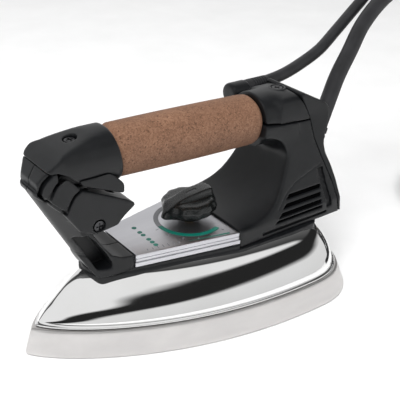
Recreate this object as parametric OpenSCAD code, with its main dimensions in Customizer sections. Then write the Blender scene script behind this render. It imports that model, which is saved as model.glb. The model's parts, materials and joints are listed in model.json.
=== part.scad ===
// Professional steam iron: cork grip, steam trigger, thermostat knob, steam hose and power cable.
// Millimetres. Nose towards -X, the iron's left side towards -Y, +Z up, soleplate face on z = 0.

/* [Sole] */
// Length of the soleplate
sole_l = 220; // [210:1:230]
// Greatest width of the soleplate
sole_w = 128; // [124:1:132]
// Thickness of the soleplate's edge
sole_h = 16.8; // [15:0.1:18]
// Diameter of a steam hole
steam_hole_d = 3; // [2:0.1:4]

/* [Shell] */
// Height of the mirror shell's top above the table
shell_top = 44.5; // [43:0.1:46]
// Wall of the mirror shell
shell_wall = 1.2; // [0.8:0.1:1.6]

/* [Plate and dial] */
// Height of the control plate's face above the table
plate_top = 53.7; // [53:0.1:55]
// Centre of the dial along the iron
dial_x = 4; // [0:0.5:8]
// Outer diameter of the dial ring
dial_d = 43.6; // [40:0.1:46]
// Diameter of the thermostat spindle
spindle_d = 6; // [5:0.1:7]

/* [Handle] */
// Diameter of the cork at its front end
cork_front_d = 29.8; // [28:0.1:31]
// Diameter of the cork at its rear end
cork_rear_d = 31.4; // [30:0.1:32]
// Height of the handle's axis at the middle of the cork
handle_z = 112.2; // [111:0.1:113]
// Fall of the handle's axis towards the heel, in degrees
handle_tilt = 2; // [1:0.1:3]

/* [Trigger] */
// Diameter of the trigger's hinge pin
trigger_pin_d = 3; // [2.5:0.1:3.2]

/* [Cords] */
// Diameter of the power cable
cable_d = 8; // [7:0.5:8]
// Diameter of the steam hose
hose_d = 11; // [10:0.5:11]

/* [Hidden] */

eps = 0.01;
$fn = 64;

// Plan outline of the sole: a pointed nose that opens as a sine, then a rounded heel
wide_at = 0.785;
nose_power = 0.75;
heel_power = 2.6;
function plan_half(s, w) = s <= wide_at
    ? w * sin(90 * pow(s / wide_at, nose_power))
    : w * pow(1 - pow((s - wide_at) / (1 - wide_at), heel_power), 1 / heel_power);
function plan_s(i, n) = (1 - cos(180 * i / n)) / 2;
function plan_side(x0, x1, w, n, side) = [for (i = [0 : n])
    let (s = plan_s(side < 0 ? i : n - i, n)) [x0 + (x1 - x0) * s, side * plan_half(s, w)]];
function plan(x0, x1, w, n = 32) = concat(
    [for (i = [0 : n - 1]) plan_side(x0, x1, w, n, -1)[i]],
    [for (i = [0 : n - 1]) plan_side(x0, x1, w, n, 1)[i]]);

// A solid whose level sections are plan outlines; each layer is [z, nose x, heel x, half width]
module loft(layers, n = 32) {
    ring = 2 * n;
    points = [for (l = layers) for (p = plan(l[1], l[2], l[3], n)) [p[0], p[1], l[0]]];
    top = (len(layers) - 1) * ring;
    polyhedron(points, concat(
        [[for (i = [0 : ring - 1]) i]],
        [[for (i = [ring - 1 : -1 : 0]) top + i]],
        [for (k = [0 : len(layers) - 2]) for (i = [0 : ring - 1]) let (j = (i + 1) % ring)
            [k * ring + i, (k + 1) * ring + i, (k + 1) * ring + j, k * ring + j]]));
}

// A round tube swept along a list of points, with its rings square to the path
function unit(v) = v / norm(v);
function tangent(p, i) = i == 0 ? unit(p[1] - p[0])
    : i == len(p) - 1 ? unit(p[i] - p[i - 1])
    : unit(unit(p[i + 1] - p[i]) + unit(p[i] - p[i - 1]));
function squared(n, t) = unit(n - (n * t) * t);
function normals(p, n, i = 0) = i == len(p) ? []
    : let (m = squared(n, tangent(p, i))) concat([m], normals(p, m, i + 1));
module swept(p, r, sides, start = [0, 1, 0]) {
    n = normals(p, start);
    points = [for (i = [0 : len(p) - 1]) for (k = [0 : sides - 1])
        p[i] + r * (cos(360 * k / sides) * n[i] + sin(360 * k / sides) * cross(tangent(p, i), n[i]))];
    top = (len(p) - 1) * sides;
    polyhedron(points, concat(
        [[for (k = [0 : sides - 1]) k]],
        [[for (k = [sides - 1 : -1 : 0]) top + k]],
        [for (i = [0 : len(p) - 2]) for (k = [0 : sides - 1])
            let (j = (k + 1) % sides)
            [i * sides + k, (i + 1) * sides + k, (i + 1) * sides + j, i * sides + j]]));
}

// An outline drawn in the XZ plane, made solid between two values of Y
module side_solid(outline, y0, y1) {
    translate([0, y1, 0]) rotate([90, 0, 0]) linear_extrude(y1 - y0) polygon(outline);
}
// Children drawn along +Z are laid along the handle's axis, with their origin at the given x
module on_handle(x) {
    translate([x, 0, handle_axis_z(x)]) rotate([0, 90 + handle_tilt, 0]) children();
}
function handle_axis_z(x) = handle_z - x * tan(handle_tilt);
// A cross-head screw that points down: head on top of z = 0
module screw(head_d, head_h, shank_d, length) {
    difference() {
        union() {
            cylinder(d = head_d, h = head_h, $fn = 32);
            translate([0, 0, -length]) cylinder(d = shank_d, h = length + eps, $fn = 24);
        }
        for (a = [0, 90]) rotate(a) translate([-head_d * 0.32, -0.5, head_h * 0.45])
            cube([head_d * 0.64, 1, head_h]);
    }
}

// Sole and shell levels
nose_x = -sole_l / 2;
heel_x = sole_l / 2;
sole_half = sole_w / 2;
sole_layers = [
    [0, nose_x + 1, heel_x - 1, sole_half - 1],
    [1.2, nose_x, heel_x, sole_half],
    [sole_h - 1, nose_x + 4.4, heel_x - 5.6, sole_half - 4],
    [sole_h, nose_x + 5.4, heel_x - 6.6, sole_half - 5]];
shell_half = sole_half - 7;
shell_rise = shell_top - sole_h;
function shell_layers(t) = [
    [sole_h, nose_x + 8.6 + t, heel_x - 9 - t, shell_half - t],
    [sole_h + 0.11 * shell_rise, nose_x + 9.3 + t, heel_x - 9 - t, shell_half - 0.3 - t],
    [sole_h + 0.22 * shell_rise, nose_x + 11.5 + t, heel_x - 9.5 - t, shell_half - 1.3 - t],
    [sole_h + 0.34 * shell_rise, nose_x + 14.5 + t, heel_x - 10.2 - t, shell_half - 3.2 - t],
    [sole_h + 0.47 * shell_rise - t / 2, nose_x + 18.5 + t, heel_x - 11.5 - t, shell_half - 6.2 - t],
    [sole_h + 0.62 * shell_rise - t / 2, nose_x + 23 + t, heel_x - 13.5 - t, shell_half - 11 - t],
    [sole_h + 0.77 * shell_rise - t, nose_x + 28 + t, heel_x - 16 - t, shell_half - 14.5 - t],
    [sole_h + 0.88 * shell_rise - t, nose_x + 33 + t, heel_x - 19.5 - t, shell_half - 18 - t],
    [sole_h + 0.95 * shell_rise - t, nose_x + 37.5 + t, heel_x - 23 - t, shell_half - 23 - t],
    [shell_top - t, nose_x + 42 + t, heel_x - 27 - t, shell_half - 30 - t]];
module shell_solid() { loft(shell_layers(0)); }

// Levels above the shell
plate_bottom = plate_top - 7.6;
plate_end = 19;
hose_port_x = 94;
hose_port_z = 76;
rim_top = shell_top - 1.1;
island_top = 24;
spacer_d = 7;
chamber_r = 19;
chamber_x = -20;
chamber_l = 94;
island_half = 50;
element_r = 34;
element_reach = 98;
element_d = 8;
element_z = 22;
cover_h = 1.5;
cover_top = island_top + cover_h;
pipe_x = 68;
pipe_r = 3;
pipe_bend = 8;
wire_hole = [80, 11];
screw_spots = [[-62, 0], [40, 25], [40, -25]];
chamber_screw_spots = [[-20, 22.3], [-20, -22.3], [62, 22.3], [62, -22.3]];

// Front post, trigger and switch
pivot = [-88, 107.5];
pin_r = trigger_pin_d / 2;
sleeve_r = 16.3;
post_outline = [[-106, 110.8], [-101.3, 120.5], [-90, 115.4], [-89.5, 108], [-81, 102.9],
    [-75, 101.5], [-50.3, 90.3], [-46, 86.5], [-47.2, 82.5], [-52.5, 79.7], [-54.6, 75.8],
    [-62, 73.5], [-64, 66], [-62, 58], [-56, plate_top],
    [-46.5, plate_top], [-46.5, plate_bottom], [-68.2, plate_bottom], [-73.4, 51.4], [-90, 81]];
post_plan = [[-107, -9], [-99, -13], [-84, -15], [-46, -17.6], [-46, 17.6], [-84, 15], [-99, 13], [-107, 9]];
trigger_outline = [[-90.5, 110.5], [-88, 113.2], [-62, 109.2], [-54, 103], [-50, 96.5], [-50.4, 93.6],
    [-75, 104.6], [-81, 105.6], [-85, 104.8], [-90.5, 104.8]];
switch_x = [-78, -57];
plunger_x = -60;
plunger_r = 1.4;
spring_x = -53.5;
spring_z = 80.5;

// Rear housing
housing_front = [[plate_end, 55.2], [31, 55.4], [42, 58.3], [49.5, 63], [54.5, 69], [58.5, 76], [62.5, 86],
    [66, 97]];
housing_rear = [[84.5, 108.3], [87.4, 95], [93.9, 79.6], [99.6, 65.6], [102.6, 51.3], [104.6, rim_top]];
housing_outline = concat([[plate_end, rim_top]], housing_front,
    [[62, 103], [45, 104], [45, 111.9], [60, 110]], housing_rear);
housing_widths = [[33, rim_top], [33, 54], [28.6, 64], [26.7, 71], [19.9, 98], [17.3, 111], [17.3, 114]];
cover_gap = 0.2;
cover_outline = concat(
    [[75.9, 124.6]], [for (p = housing_rear) p + [cover_gap, 0]],
    [[106.6, rim_top], [104.9, 55], [103.6, 66], [100.8, 75], [96.5, 84], [95.6, 90], [97, 97], [101, 106],
     [102, 112], [98, 116], [77.5, 126.5]]);
cap_outline = [[45, 112.1], [60, 110.2], [84.4, 108.6], [75.7, 124.6], [75.5, 127.6], [45, 128]];
vents = [[59.5, 89.5, 64.5], [55.5, 90, 59.2], [50, 90, 54]];

// Cord routes, from the boot to the coil and from the coil to the end piece
coil_centre = [282, -46];
tie_h = 1;
hose_strand_r = hose_d * sqrt(2) / 2;
hose_coil_r = 66;
hose_coil_z = tie_h + hose_strand_r + hose_d / 2;
cable_strand_r = cable_d;
cable_coil_r = 40;
cable_coil_z = tie_h + cable_strand_r + cable_d / 2;
cable_route = [[80, 23, 121], [98, 24, 123], [116, 26, 127], [134, 28, 133], [151, 32, 141], [167, 35, 150],
    [183, 38, 159], [198, 41, 168], [213, 42, 175], [229, 43, 178], [245, 44, 177], [261, 43, 168],
    [275, 39, 152], [287, 30, 132], [298, 17, 110], [308, 2, 88], [315, -10, 69], [319, -22, 53],
    [321, -33, 40], [321, -46, 30], [317, -61, 24], [309, -75, 21.5]];
hose_route = [[112, 0, 92], [121, 3, 106], [133, 8, 120], [149, 14, 133], [166, 21, 146], [185, 26, 157],
    [205, 30, 164], [226, 32, 167], [247, 32, 165], [267, 29, 158], [285, 23, 147], [302, 14, 133],
    [317, 3, 116], [329, -9, 98], [338, -18, 79], [344, -27, 61], [347, -38, 46], [348, -50, 35],
    [345, -66, 27], [339, -80, 22.5]];
cable_tail_route = [[266, -76, 19], [256, -69, 25], [248, -60, 31], [243, -50, 36], [240, -40, 39]];
hose_tail_route = [[251, 7, 20], [263, 13, 27], [275, 17, 34], [287, 19, 39], [298, 20, 41]];

// ---------------------------------------------------------------- sole and heater
module chamber_plan(grow) {
    translate([chamber_x, 0]) circle(r = chamber_r + grow);
    translate([chamber_x, -chamber_r - grow]) square([chamber_l + grow / 3, 2 * (chamber_r + grow)]);
}
module element_path(r) {
    translate([chamber_x, 0, element_z]) rotate([0, 0, 90]) rotate_extrude(angle = 180)
        translate([element_r, 0]) circle(r = r, $fn = 32);
    for (side = [-1, 1]) translate([chamber_x, side * element_r, element_z]) rotate([0, 90, 0])
        cylinder(r = r, h = element_reach, $fn = 32);
}
module soleplate() {
    color([0.62, 0.62, 0.63]) difference() {
        union() {
            loft(sole_layers);
            translate([0, 0, sole_h - 2]) linear_extrude(island_top - sole_h + 2)
                polygon(plan(-90, 80, island_half));
        }
        translate([0, 0, 14]) linear_extrude(20) chamber_plan(0);
        element_path(element_d / 2);
        for (side = [-1, 1]) translate([chamber_x, side * element_r - element_d / 2, element_z])
            cube([element_reach, element_d, 10]);
        translate([chamber_x, 0, element_z]) rotate([0, 0, 90]) rotate_extrude(angle = 180)
            translate([element_r - element_d / 2, 0]) square([element_d, 10]);
        for (x = [-32 : 12 : 52], y = [-15, 0, 15]) translate([x, y, -1])
            cylinder(d = steam_hole_d, h = 20, $fn = 24);
        for (p = screw_spots) translate([p[0], p[1], 12]) cylinder(d = 4, h = 20, $fn = 24);
        for (p = chamber_screw_spots) translate([p[0], p[1], 16]) cylinder(d = 2.5, h = 20, $fn = 24);
    }
}
module heating_element() {
    color([0.45, 0.42, 0.4]) element_path(element_d / 2);
}
module element_terminals() {
    end_x = chamber_x + element_reach;
    color([0.8, 0.7, 0.4]) for (side = [-1, 1]) translate([end_x, side * element_r, element_z])
        rotate([0, 90, 0]) {
            cylinder(r = 1.5, h = 8, $fn = 24);
            translate([0, 0, 4]) cylinder(r = 3, h = 2.4, $fn = 6);
    }
}
module chamber_cover() {
    color([0.7, 0.7, 0.72]) difference() {
        translate([0, 0, island_top]) linear_extrude(cover_h) chamber_plan(6);
        for (p = chamber_screw_spots) translate([p[0], p[1], 20]) cylinder(d = 2.5, h = 10, $fn = 24);
        for (p = screw_spots) translate([p[0], p[1], 20]) cylinder(d = spacer_d + 1, h = 10, $fn = 24);
        translate([pipe_x, 0, 20]) cylinder(r = pipe_r, h = 10);
    }
}
module chamber_screws() {
    color([0.75, 0.75, 0.76]) for (p = chamber_screw_spots) translate([p[0], p[1], cover_top])
        screw(5, 2, 2.5, 8);
}
module thermostat_body() {
    color([0.85, 0.83, 0.78]) difference() {
        union() {
            translate([dial_x, 0, cover_top]) cylinder(r = 12, h = 8.5);
            translate([dial_x - 18, -5, cover_top]) cube([36, 10, 1.5]);
        }
        translate([dial_x, 0, cover_top + 3]) cylinder(d = spindle_d + 0.1, h = 20);
    }
}
module thermostat_bush() {
    color([0.8, 0.68, 0.35]) translate([dial_x, 0, cover_top + 8.5]) difference() {
        cylinder(r = 5, h = plate_top - 1.5 - cover_top - 8.5 - 0.5);
        translate([0, 0, -1]) cylinder(d = spindle_d + 0.1, h = 40);
    }
}
module thermal_fuse() {
    color([0.9, 0.9, 0.88]) {
        translate([-34, 0, cover_top]) cylinder(r = 5, h = 5, $fn = 32);
        translate([-34, 0, cover_top + 5]) cylinder(r = 3.4, h = 1.5, $fn = 32);
    }
}
module spacer_tubes() {
    color([0.8, 0.8, 0.8]) for (p = screw_spots) translate([p[0], p[1], island_top]) difference() {
        cylinder(d = spacer_d, h = shell_inner_z(p) - island_top, $fn = 32);
        translate([0, 0, -1]) cylinder(d = 4.6, h = 30, $fn = 24);
    }
}
function shell_inner_z(p) = p[1] == 0 ? 40.5 : 41.9;
module base_screws() {
    color([0.75, 0.75, 0.76]) for (p = screw_spots) translate([p[0], p[1], plate_bottom - 1])
        screw(7, 1, 4, plate_bottom - 14);
}
module steam_pipe() {
    color([0.78, 0.55, 0.35]) {
        translate([pipe_x, 0, island_top - 4])
            cylinder(r = pipe_r, h = hose_port_z - pipe_bend - island_top + 4, $fn = 32);
        translate([pipe_x + pipe_bend, 0, hose_port_z - pipe_bend]) rotate([90, 0, 0]) rotate([0, 0, 90])
            rotate_extrude(angle = 90) translate([pipe_bend, 0]) circle(r = pipe_r, $fn = 32);
        translate([pipe_x + pipe_bend, 0, hose_port_z]) rotate([0, 90, 0])
            cylinder(r = pipe_r, h = hose_port_x - pipe_x - pipe_bend, $fn = 32);
    }
}

// ---------------------------------------------------------------- shell, base and plate
module shell_cover() {
    color([0.85, 0.85, 0.87]) difference() {
        shell_solid();
        inner = shell_layers(shell_wall);
        loft(concat([[sole_h - 1, inner[0][1], inner[0][2], inner[0][3]]], inner));
        translate([dial_x, 0, 30]) cylinder(r = 8, h = 30);
        translate([pipe_x, 0, 30]) cylinder(r = pipe_r + 0.3, h = 30, $fn = 32);
        for (side = [-1, 1]) translate([wire_hole[0], side * wire_hole[1], 30])
            cylinder(r = 4, h = 30, $fn = 32);
        for (p = screw_spots) translate([p[0], p[1], 30]) cylinder(d = 4.6, h = 30, $fn = 24);
    }
}
module base_plan() {
    half = [[-71, 5], [-67, 12.5], [-46.5, 19.2], [plate_end, 34.6], [60, 36.6], [80, 35.5], [86, 30], [90, 18]];
    last = len(half) - 1;
    polygon(concat([[-72, 0]], [for (p = half) [p[0], -p[1]]], [[91, 0]], [for (i = [last : -1 : 0]) half[i]]));
}
module insulating_base() {
    color([0.06, 0.06, 0.07]) difference() {
        union() {
            translate([0, 0, 30]) linear_extrude(rim_top - 30) base_plan();
            intersection() {
                translate([0, 0, 40]) linear_extrude(plate_bottom - 40) base_plan();
                translate([-80, -50, 0]) cube([80 + plate_end, 100, 100]);
            }
            translate([0, 0, plate_bottom - eps]) linear_extrude(plate_top - 1.5 - plate_bottom + eps)
                polygon([[-44, -15.2], [16, -27], [16, 27], [-44, 15.2]]);
        }
        shell_solid();
        translate([dial_x, 0, 30]) cylinder(r = 8, h = 30);
        for (p = screw_spots) translate([p[0], p[1], 30]) {
            cylinder(d = 4.6, h = 30, $fn = 24);
        }
        for (p = screw_spots) translate([p[0], p[1], plate_bottom - 1]) cylinder(d = 7.4, h = 30, $fn = 24);
    }
}
module control_plate() {
    color([0.72, 0.73, 0.76]) difference() {
        union() {
            translate([0, 0, plate_bottom]) linear_extrude(plate_top - plate_bottom)
                polygon([[-46.3, -17.9], [plate_end, -31.4], [plate_end, 31.4], [-46.3, 17.9]]);
            translate([0, 0, plate_bottom]) linear_extrude(3)
                polygon([[-46.3, -18.6], [plate_end, -32.2], [plate_end, 32.2], [-46.3, 18.6]]);
        }
        translate([0, 0, plate_bottom - 1]) linear_extrude(plate_top - 1.5 - plate_bottom + 1)
            polygon([[-44.8, -16.2], [plate_end + 3, -30.6], [plate_end + 3, 30.6], [-44.8, 16.2]]);
        translate([dial_x, 0, 40]) cylinder(r = 5.6, h = 30);
    }
}
module dial_ring() {
    color([0.05, 0.45, 0.38]) translate([dial_x, 0, plate_top]) rotate([0, 0, 60])
        rotate_extrude(angle = 240) translate([dial_d / 2 - 3, 0]) square([3, 0.4]);
}

// ---------------------------------------------------------------- thermostat knob
knob_z = plate_top + 1;
module spindle() {
    color([0.8, 0.7, 0.4]) translate([dial_x, 0, cover_top + 3.5])
        cylinder(d = spindle_d, h = knob_z + 11 - cover_top - 3.5);
}
module knob() {
    color([0.05, 0.05, 0.055]) difference() {
        union() {
            translate([dial_x, 0, knob_z]) cylinder(r = 8, h = 1.4);
            translate([dial_x, 0, knob_z + 1]) cylinder(r1 = 9, r2 = 17, h = 5);
            translate([dial_x, 0, knob_z + 6]) difference() {
                cylinder(r = 17, h = 4);
                for (a = [0 : 30 : 330]) rotate(a) translate([19.4, 0, -1]) cylinder(r = 4, h = 6, $fn = 24);
            }
            translate([dial_x, 0, knob_z + 10]) cylinder(r1 = 15, r2 = 10, h = 4);
            translate([0, 0, knob_z + 10]) linear_extrude(7.5) polygon([[dial_x - 20, -1.2], [dial_x - 14, -4],
                [dial_x, -5.6], [dial_x + 15, -5.2], [dial_x + 16.5, 0], [dial_x + 15, 5.2], [dial_x, 5.6],
                [dial_x - 14, 4], [dial_x - 20, 1.2]]);
        }
        translate([dial_x, 0, knob_z - 1]) cylinder(d = spindle_d, h = 12, $fn = 48);
        translate([dial_x, 0, knob_z - 1]) cylinder(r = 5, h = 4);
        translate([dial_x - 19, -0.6, knob_z + 16.9]) cube([14, 1.2, 2]);
    }
}
module knob_pointer() {
    color([0.92, 0.92, 0.9]) translate([dial_x - 19, -0.6, knob_z + 16.9]) cube([14, 1.2, 0.6]);
}
module knob_clip() {
    color([0.75, 0.75, 0.76]) translate([dial_x, 0, knob_z]) difference() {
        cylinder(r = 5, h = 3);
        translate([0, 0, -1]) cylinder(d = spindle_d, h = 5, $fn = 48);
        translate([0, -1, -1]) cube([8, 2, 5]);
    }
}

// ---------------------------------------------------------------- front post and trigger
module handle_sleeve_space(r, x0, x1) {
    on_handle(x0) cylinder(r = r, h = x1 - x0);
}
module post_body() {
    difference() {
        intersection() {
            side_solid(post_outline, -20, 20);
            translate([0, 0, 30]) linear_extrude(100) polygon(post_plan);
        }
        shell_solid();
        handle_sleeve_space(sleeve_r + 0.1, -74, -40);
        // scoop in the side of the lower web
        for (side = [-1, 1]) translate([-57, side * 22, plate_top]) cylinder(r = 13, h = 20);
        // wiring and switch space
        side_solid([[-84, 82], [-88, 86], [-95, 99], [-98.5, 110], [-98, 125], [-56, 125], [-56, 82]], -10.5, 10.5);
        side_solid([[-93, 96], [-96, 110], [-96, 130], [-25, 130], [-25, 94], [-80, 94]], -11.7, 11.7);
        translate([plunger_x, 0, 80]) cylinder(r = 3, h = 30, $fn = 32);
        translate([spring_x, 0, spring_z]) cylinder(r = 3.2, h = 30, $fn = 32);
        // cross bores for the pin and the clamping screw
        translate([pivot[0], -12.5, pivot[1]]) rotate([-90, 0, 0]) cylinder(r = pin_r, h = 25, $fn = 32);
        translate([-68.2, -30, 78.4]) rotate([-90, 0, 0]) cylinder(r = 1.6, h = 60, $fn = 24);
        for (side = [-1, 1]) translate([-68.2, side * 13.5, 78.4]) rotate([side * -90, 0, 0])
            cylinder(r = 3.6, h = 10, $fn = 32);
        translate([-58, 0, 30]) cylinder(d = 8, h = 17, $fn = 24);
    }
}
module post_left() {
    color([0.06, 0.06, 0.065]) intersection() {
        post_body();
        translate([-120, -30, 0]) cube([100, 30, 200]);
    }
}
module post_right() {
    color([0.06, 0.06, 0.065]) intersection() {
        post_body();
        translate([-120, 0, 0]) cube([100, 30, 200]);
    }
}
module post_screw() {
    color([0.5, 0.5, 0.52]) translate([-68.2, -13.5, 78.4]) rotate([90, 0, 0]) screw(6.4, 1.6, 3.2, 27);
}
module post_screw_nut() {
    color([0.5, 0.5, 0.52]) translate([-68.2, 13.5, 78.4]) rotate([-90, 0, 0]) difference() {
        cylinder(r = 3.2, h = 1.6, $fn = 6);
        translate([0, 0, -1]) cylinder(r = 1.6, h = 4, $fn = 24);
    }
}
cap_screw_x = -76;
function cap_outline_in(t) = [[-101.3 + t, 119], [-100.9 + t, 123.3], [-98.7 + t, 126.4 - t / 2],
    [-94 + t, 128.6 - t], [-79, 130.7 - t], [-70, 131.6 - t], [-55.5, 132 - t], [-55.5, 90], [-101.3 + t, 90]];
module cap_form(t) {
    intersection() {
        side_solid(cap_outline_in(t), -18, 18);
        on_handle(-104) cylinder(r = sleeve_r - t, h = 48.6);
        translate([0, 0, 80]) linear_extrude(60) polygon([[-101.3, -9 + t], [-98.5, -12.5 + t], [-90, -15 + t],
            [-70, -17], [-50, -17], [-50, 17], [-70, 17], [-90, 15 - t], [-98.5, 12.5 - t], [-101.3, 9 - t]]);
    }
}
module front_cap() {
    color([0.06, 0.06, 0.065]) difference() {
        cap_form(0);
        // parting face on the post, short of the sleeve that holds the cork
        side_solid([[-120, 60], [-120, 129], [-101.3, 120.7], [-90, 115.6], [-73, 113.6], [-73, 60]], -30, 30);
        difference() {
            cap_form(2.2);
            translate([cap_screw_x, 0, 100]) cylinder(r = 4, h = 40, $fn = 32);
            translate([-71, -30, 60]) cube([60, 60, 100]);
        }
        on_handle(-68) cylinder(r = cork_front_d / 2 + 0.1, h = 40);
        translate([cap_screw_x, 0, 100]) cylinder(r = 1.6, h = 40, $fn = 24);
        translate([cap_screw_x, 0, 127.6]) cylinder(r = 3.8, h = 20, $fn = 32);
        on_handle(-92) cylinder(r = 6, h = 60);
    }
}
module front_cap_screw() {
    color([0.4, 0.4, 0.42]) translate([cap_screw_x, 0, 127.6]) screw(6.8, 1.6, 3.2, 5);
}
module trigger() {
    color([0.06, 0.06, 0.065]) difference() {
        union() {
            intersection() {
                side_solid(trigger_outline, -20, 20);
                translate([0, 0, 80]) linear_extrude(60)
                    polygon([[-91, -11.2], [-80, -11.2], [-72, -14], [-49, -14.6], [-49, 14.6], [-72, 14],
                        [-80, 11.2], [-91, 11.2]]);
            }
            translate([plunger_x, 0, 96.2]) cylinder(r = 1.2, h = 3, $fn = 24);
        }
        handle_sleeve_space(sleeve_r + 0.9, -76, -40);
        handle_sleeve_space(8, -84, -70);
        translate([pivot[0], -20, pivot[1]]) rotate([-90, 0, 0]) cylinder(r = pin_r + 0.05, h = 40, $fn = 32);
    }
}
module trigger_pin() {
    color([0.75, 0.75, 0.76]) translate([pivot[0], -12.5, pivot[1]]) rotate([-90, 0, 0])
        cylinder(r = pin_r, h = 25, $fn = 32);
}
spring_turns = 5;
spring_steps = 12;
spring_r = 2.2;
spring_rise = 12;
module trigger_spring() {
    steps = spring_turns * spring_steps;
    color([0.75, 0.75, 0.76]) swept([for (i = [0 : steps]) let (a = 360 * i / spring_steps)
        [spring_x + spring_r * cos(a), spring_r * sin(a), spring_z + 0.5 + spring_rise * i / steps]],
        0.4, 6, [1, 0, 0]);
}
module microswitch() {
    color([0.15, 0.15, 0.17]) difference() {
        translate([switch_x[0], -5, 83]) cube([switch_x[1] - switch_x[0], 10, 9]);
        translate([plunger_x, 0, 88]) cylinder(r = plunger_r + 0.06, h = 10, $fn = 32);
        for (x = [-74, -65]) translate([x, -6, 86]) rotate([-90, 0, 0]) cylinder(r = 1.2, h = 12, $fn = 24);
    }
}
module switch_plunger() {
    color([0.8, 0.2, 0.15]) translate([plunger_x, 0, 90.2]) cylinder(r = plunger_r, h = 5.7, $fn = 32);
}

// ---------------------------------------------------------------- handle
cork_x = [-67.6, 44.6];
module cork_grip() {
    length = (cork_x[1] - cork_x[0]) / cos(handle_tilt);
    color([0.62, 0.45, 0.33]) on_handle(cork_x[0]) difference() {
        union() {
            cylinder(d1 = cork_front_d, d2 = cork_rear_d, h = length - 2);
            translate([0, 0, length - 2]) cylinder(d1 = cork_rear_d, d2 = cork_rear_d - 4, h = 2);
        }
        translate([0, 0, -1]) cylinder(r = 6, h = 200);
        for (z = [-1, length - 5]) translate([0, 0, z]) cylinder(r = 9, h = 6);
    }
}
module handle_tube() {
    color([0.7, 0.7, 0.72]) on_handle(-82) difference() {
        cylinder(r = 6, h = 148);
        translate([0, 0, -1]) cylinder(r = 4.8, h = 200);
    }
}
module bush() {
    difference() {
        cylinder(r = 9, h = 5);
        translate([0, 0, -1]) cylinder(r = 6, h = 10);
    }
}
module front_bush() {
    color([0.1, 0.1, 0.1]) on_handle(cork_x[0]) bush();
}
module rear_bush() {
    length = (cork_x[1] - cork_x[0]) / cos(handle_tilt);
    color([0.1, 0.1, 0.1]) on_handle(cork_x[0]) translate([0, 0, length - 5]) bush();
}

// ---------------------------------------------------------------- rear housing
module width_solid(inset) {
    outline = concat([for (w = housing_widths) [-w[0] + inset, w[1]]],
        [for (i = [len(housing_widths) - 1 : -1 : 0]) [housing_widths[i][0] - inset, housing_widths[i][1]]]);
    rotate([90, 0, 90]) linear_extrude(140) polygon(outline);
}
wall = 2.4;
module rear_housing() {
    color([0.06, 0.06, 0.065]) difference() {
        union() {
            intersection() {
                side_solid(housing_outline, -34, 34);
                width_solid(0);
            }
            intersection() {
                on_handle(45) cylinder(r = 17.3, h = 24);
                side_solid([[40, 80], [40, 112.2], [45, 111.9], [60, 110], [84.4, 108.3], [84, 80]], -20, 20);
            }
        }
        intersection() {
            side_solid(concat([[plate_end + wall, 30]], [for (p = housing_front) p + [wall, -wall]],
                [[69.5, 120], [82, 120], [85, 107], [100, 78], [120, 70], [120, 30]]), -34, 34);
            width_solid(wall);
        }
        translate([plate_end + wall, -30.6, 30]) cube([100, 61.2, 20]);
        shell_solid();
        // sloping louvres
        for (side = [-1, 1], v = vents) translate([0, side * 30, v[2]])
            translate([v[0], -8, -1.5]) cube([v[1] - v[0], 16, 3]);
        on_handle(35) cylinder(r = 6, h = 60);
        translate([70, 0, 90]) cylinder(r = 1.6, h = 40, $fn = 24);
    }
}
module vent_grille(side) {
    color([0.03, 0.03, 0.03]) for (v = vents) intersection() {
        translate([v[0], side * 30 - 8, v[2] - 1.5]) cube([v[1] - v[0], 16, 3]);
        difference() {
            width_solid(wall - 1.2);
            width_solid(wall);
        }
        translate([0, side < 0 ? -60 : 0, 0]) cube([200, 60, 200]);
    }
}
module vent_grille_left() { vent_grille(-1); }
module vent_grille_right() { vent_grille(1); }
module rear_top_cap() {
    color([0.06, 0.06, 0.065]) difference() {
        union() {
            intersection() {
                side_solid(cap_outline, -18, 18);
                union() {
                    on_handle(45) cylinder(r = 17.3, h = 50);
                    translate([58, -15, 100]) cube([30, 30, 26]);
                }
            }
            // boss that carries the cable boot on the far side
            intersection() {
                translate([54, 10, 114]) cube([20, 20, 12]);
                translate([40, 22, 120]) rotate([0, 90, 0]) cylinder(r = 8.5, h = 40);
            }
        }
        on_handle(35) cylinder(r = 6, h = 60);
        intersection() {
            translate([58, -13, 100]) cube([14, 26, 23.5]);
            on_handle(45) cylinder(r = 15, h = 50);
        }
        translate([70, 0, 100]) cylinder(r = 1.6, h = 40, $fn = 24);
        translate([70, 0, 125]) cylinder(r = 3.8, h = 20, $fn = 32);
        translate([50, 23, 120]) rotate([0, 90, 0]) cylinder(r = 6, h = 40);
    }
}
module rear_cap_screw() {
    color([0.4, 0.4, 0.42]) translate([70, 0, 125]) screw(6.8, 1.6, 3.2, 18);
}
module rear_cover() {
    color([0.06, 0.06, 0.065]) difference() {
        intersection() {
            side_solid(cover_outline, -34, 34);
            union() {
                width_solid(0);
                translate([60, -15, 100]) cube([60, 30, 30]);
            }
        }
        translate([85, 0, hose_port_z]) rotate([0, 90, 0]) cylinder(r = 7, h = 30);
        for (p = cover_screw_spots) {
            translate([80, p[0], p[1]]) rotate([0, 90, 0]) cylinder(r = 1.6, h = 40, $fn = 24);
            translate([cover_screw_x, p[0], p[1]]) rotate([0, 90, 0]) cylinder(r = 3, h = 10, $fn = 32);
        }
    }
}
cover_screw_x = 103.4;
cover_screw_spots = [[-22, 55], [22, 55]];
module rear_cover_screws() {
    color([0.4, 0.4, 0.42]) for (p = cover_screw_spots)
        translate([cover_screw_x, p[0], p[1]]) rotate([0, 90, 0]) screw(5.6, 1.3, 3.2, 10);
}
block = [74, 48];
terminal_y = [-12, -5, 5, 12];
module terminal_block() {
    color([0.9, 0.9, 0.88]) difference() {
        translate([block[0], -16, block[1]]) cube([13, 32, 12]);
        for (y = terminal_y) {
            translate([block[0] + 4, y, block[1] + 6]) rotate([0, 90, 0]) cylinder(r = 2, h = 30, $fn = 24);
            translate([block[0] + 7, y, block[1] + 6]) cylinder(r = 1, h = 10, $fn = 24);
        }
    }
}
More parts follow.
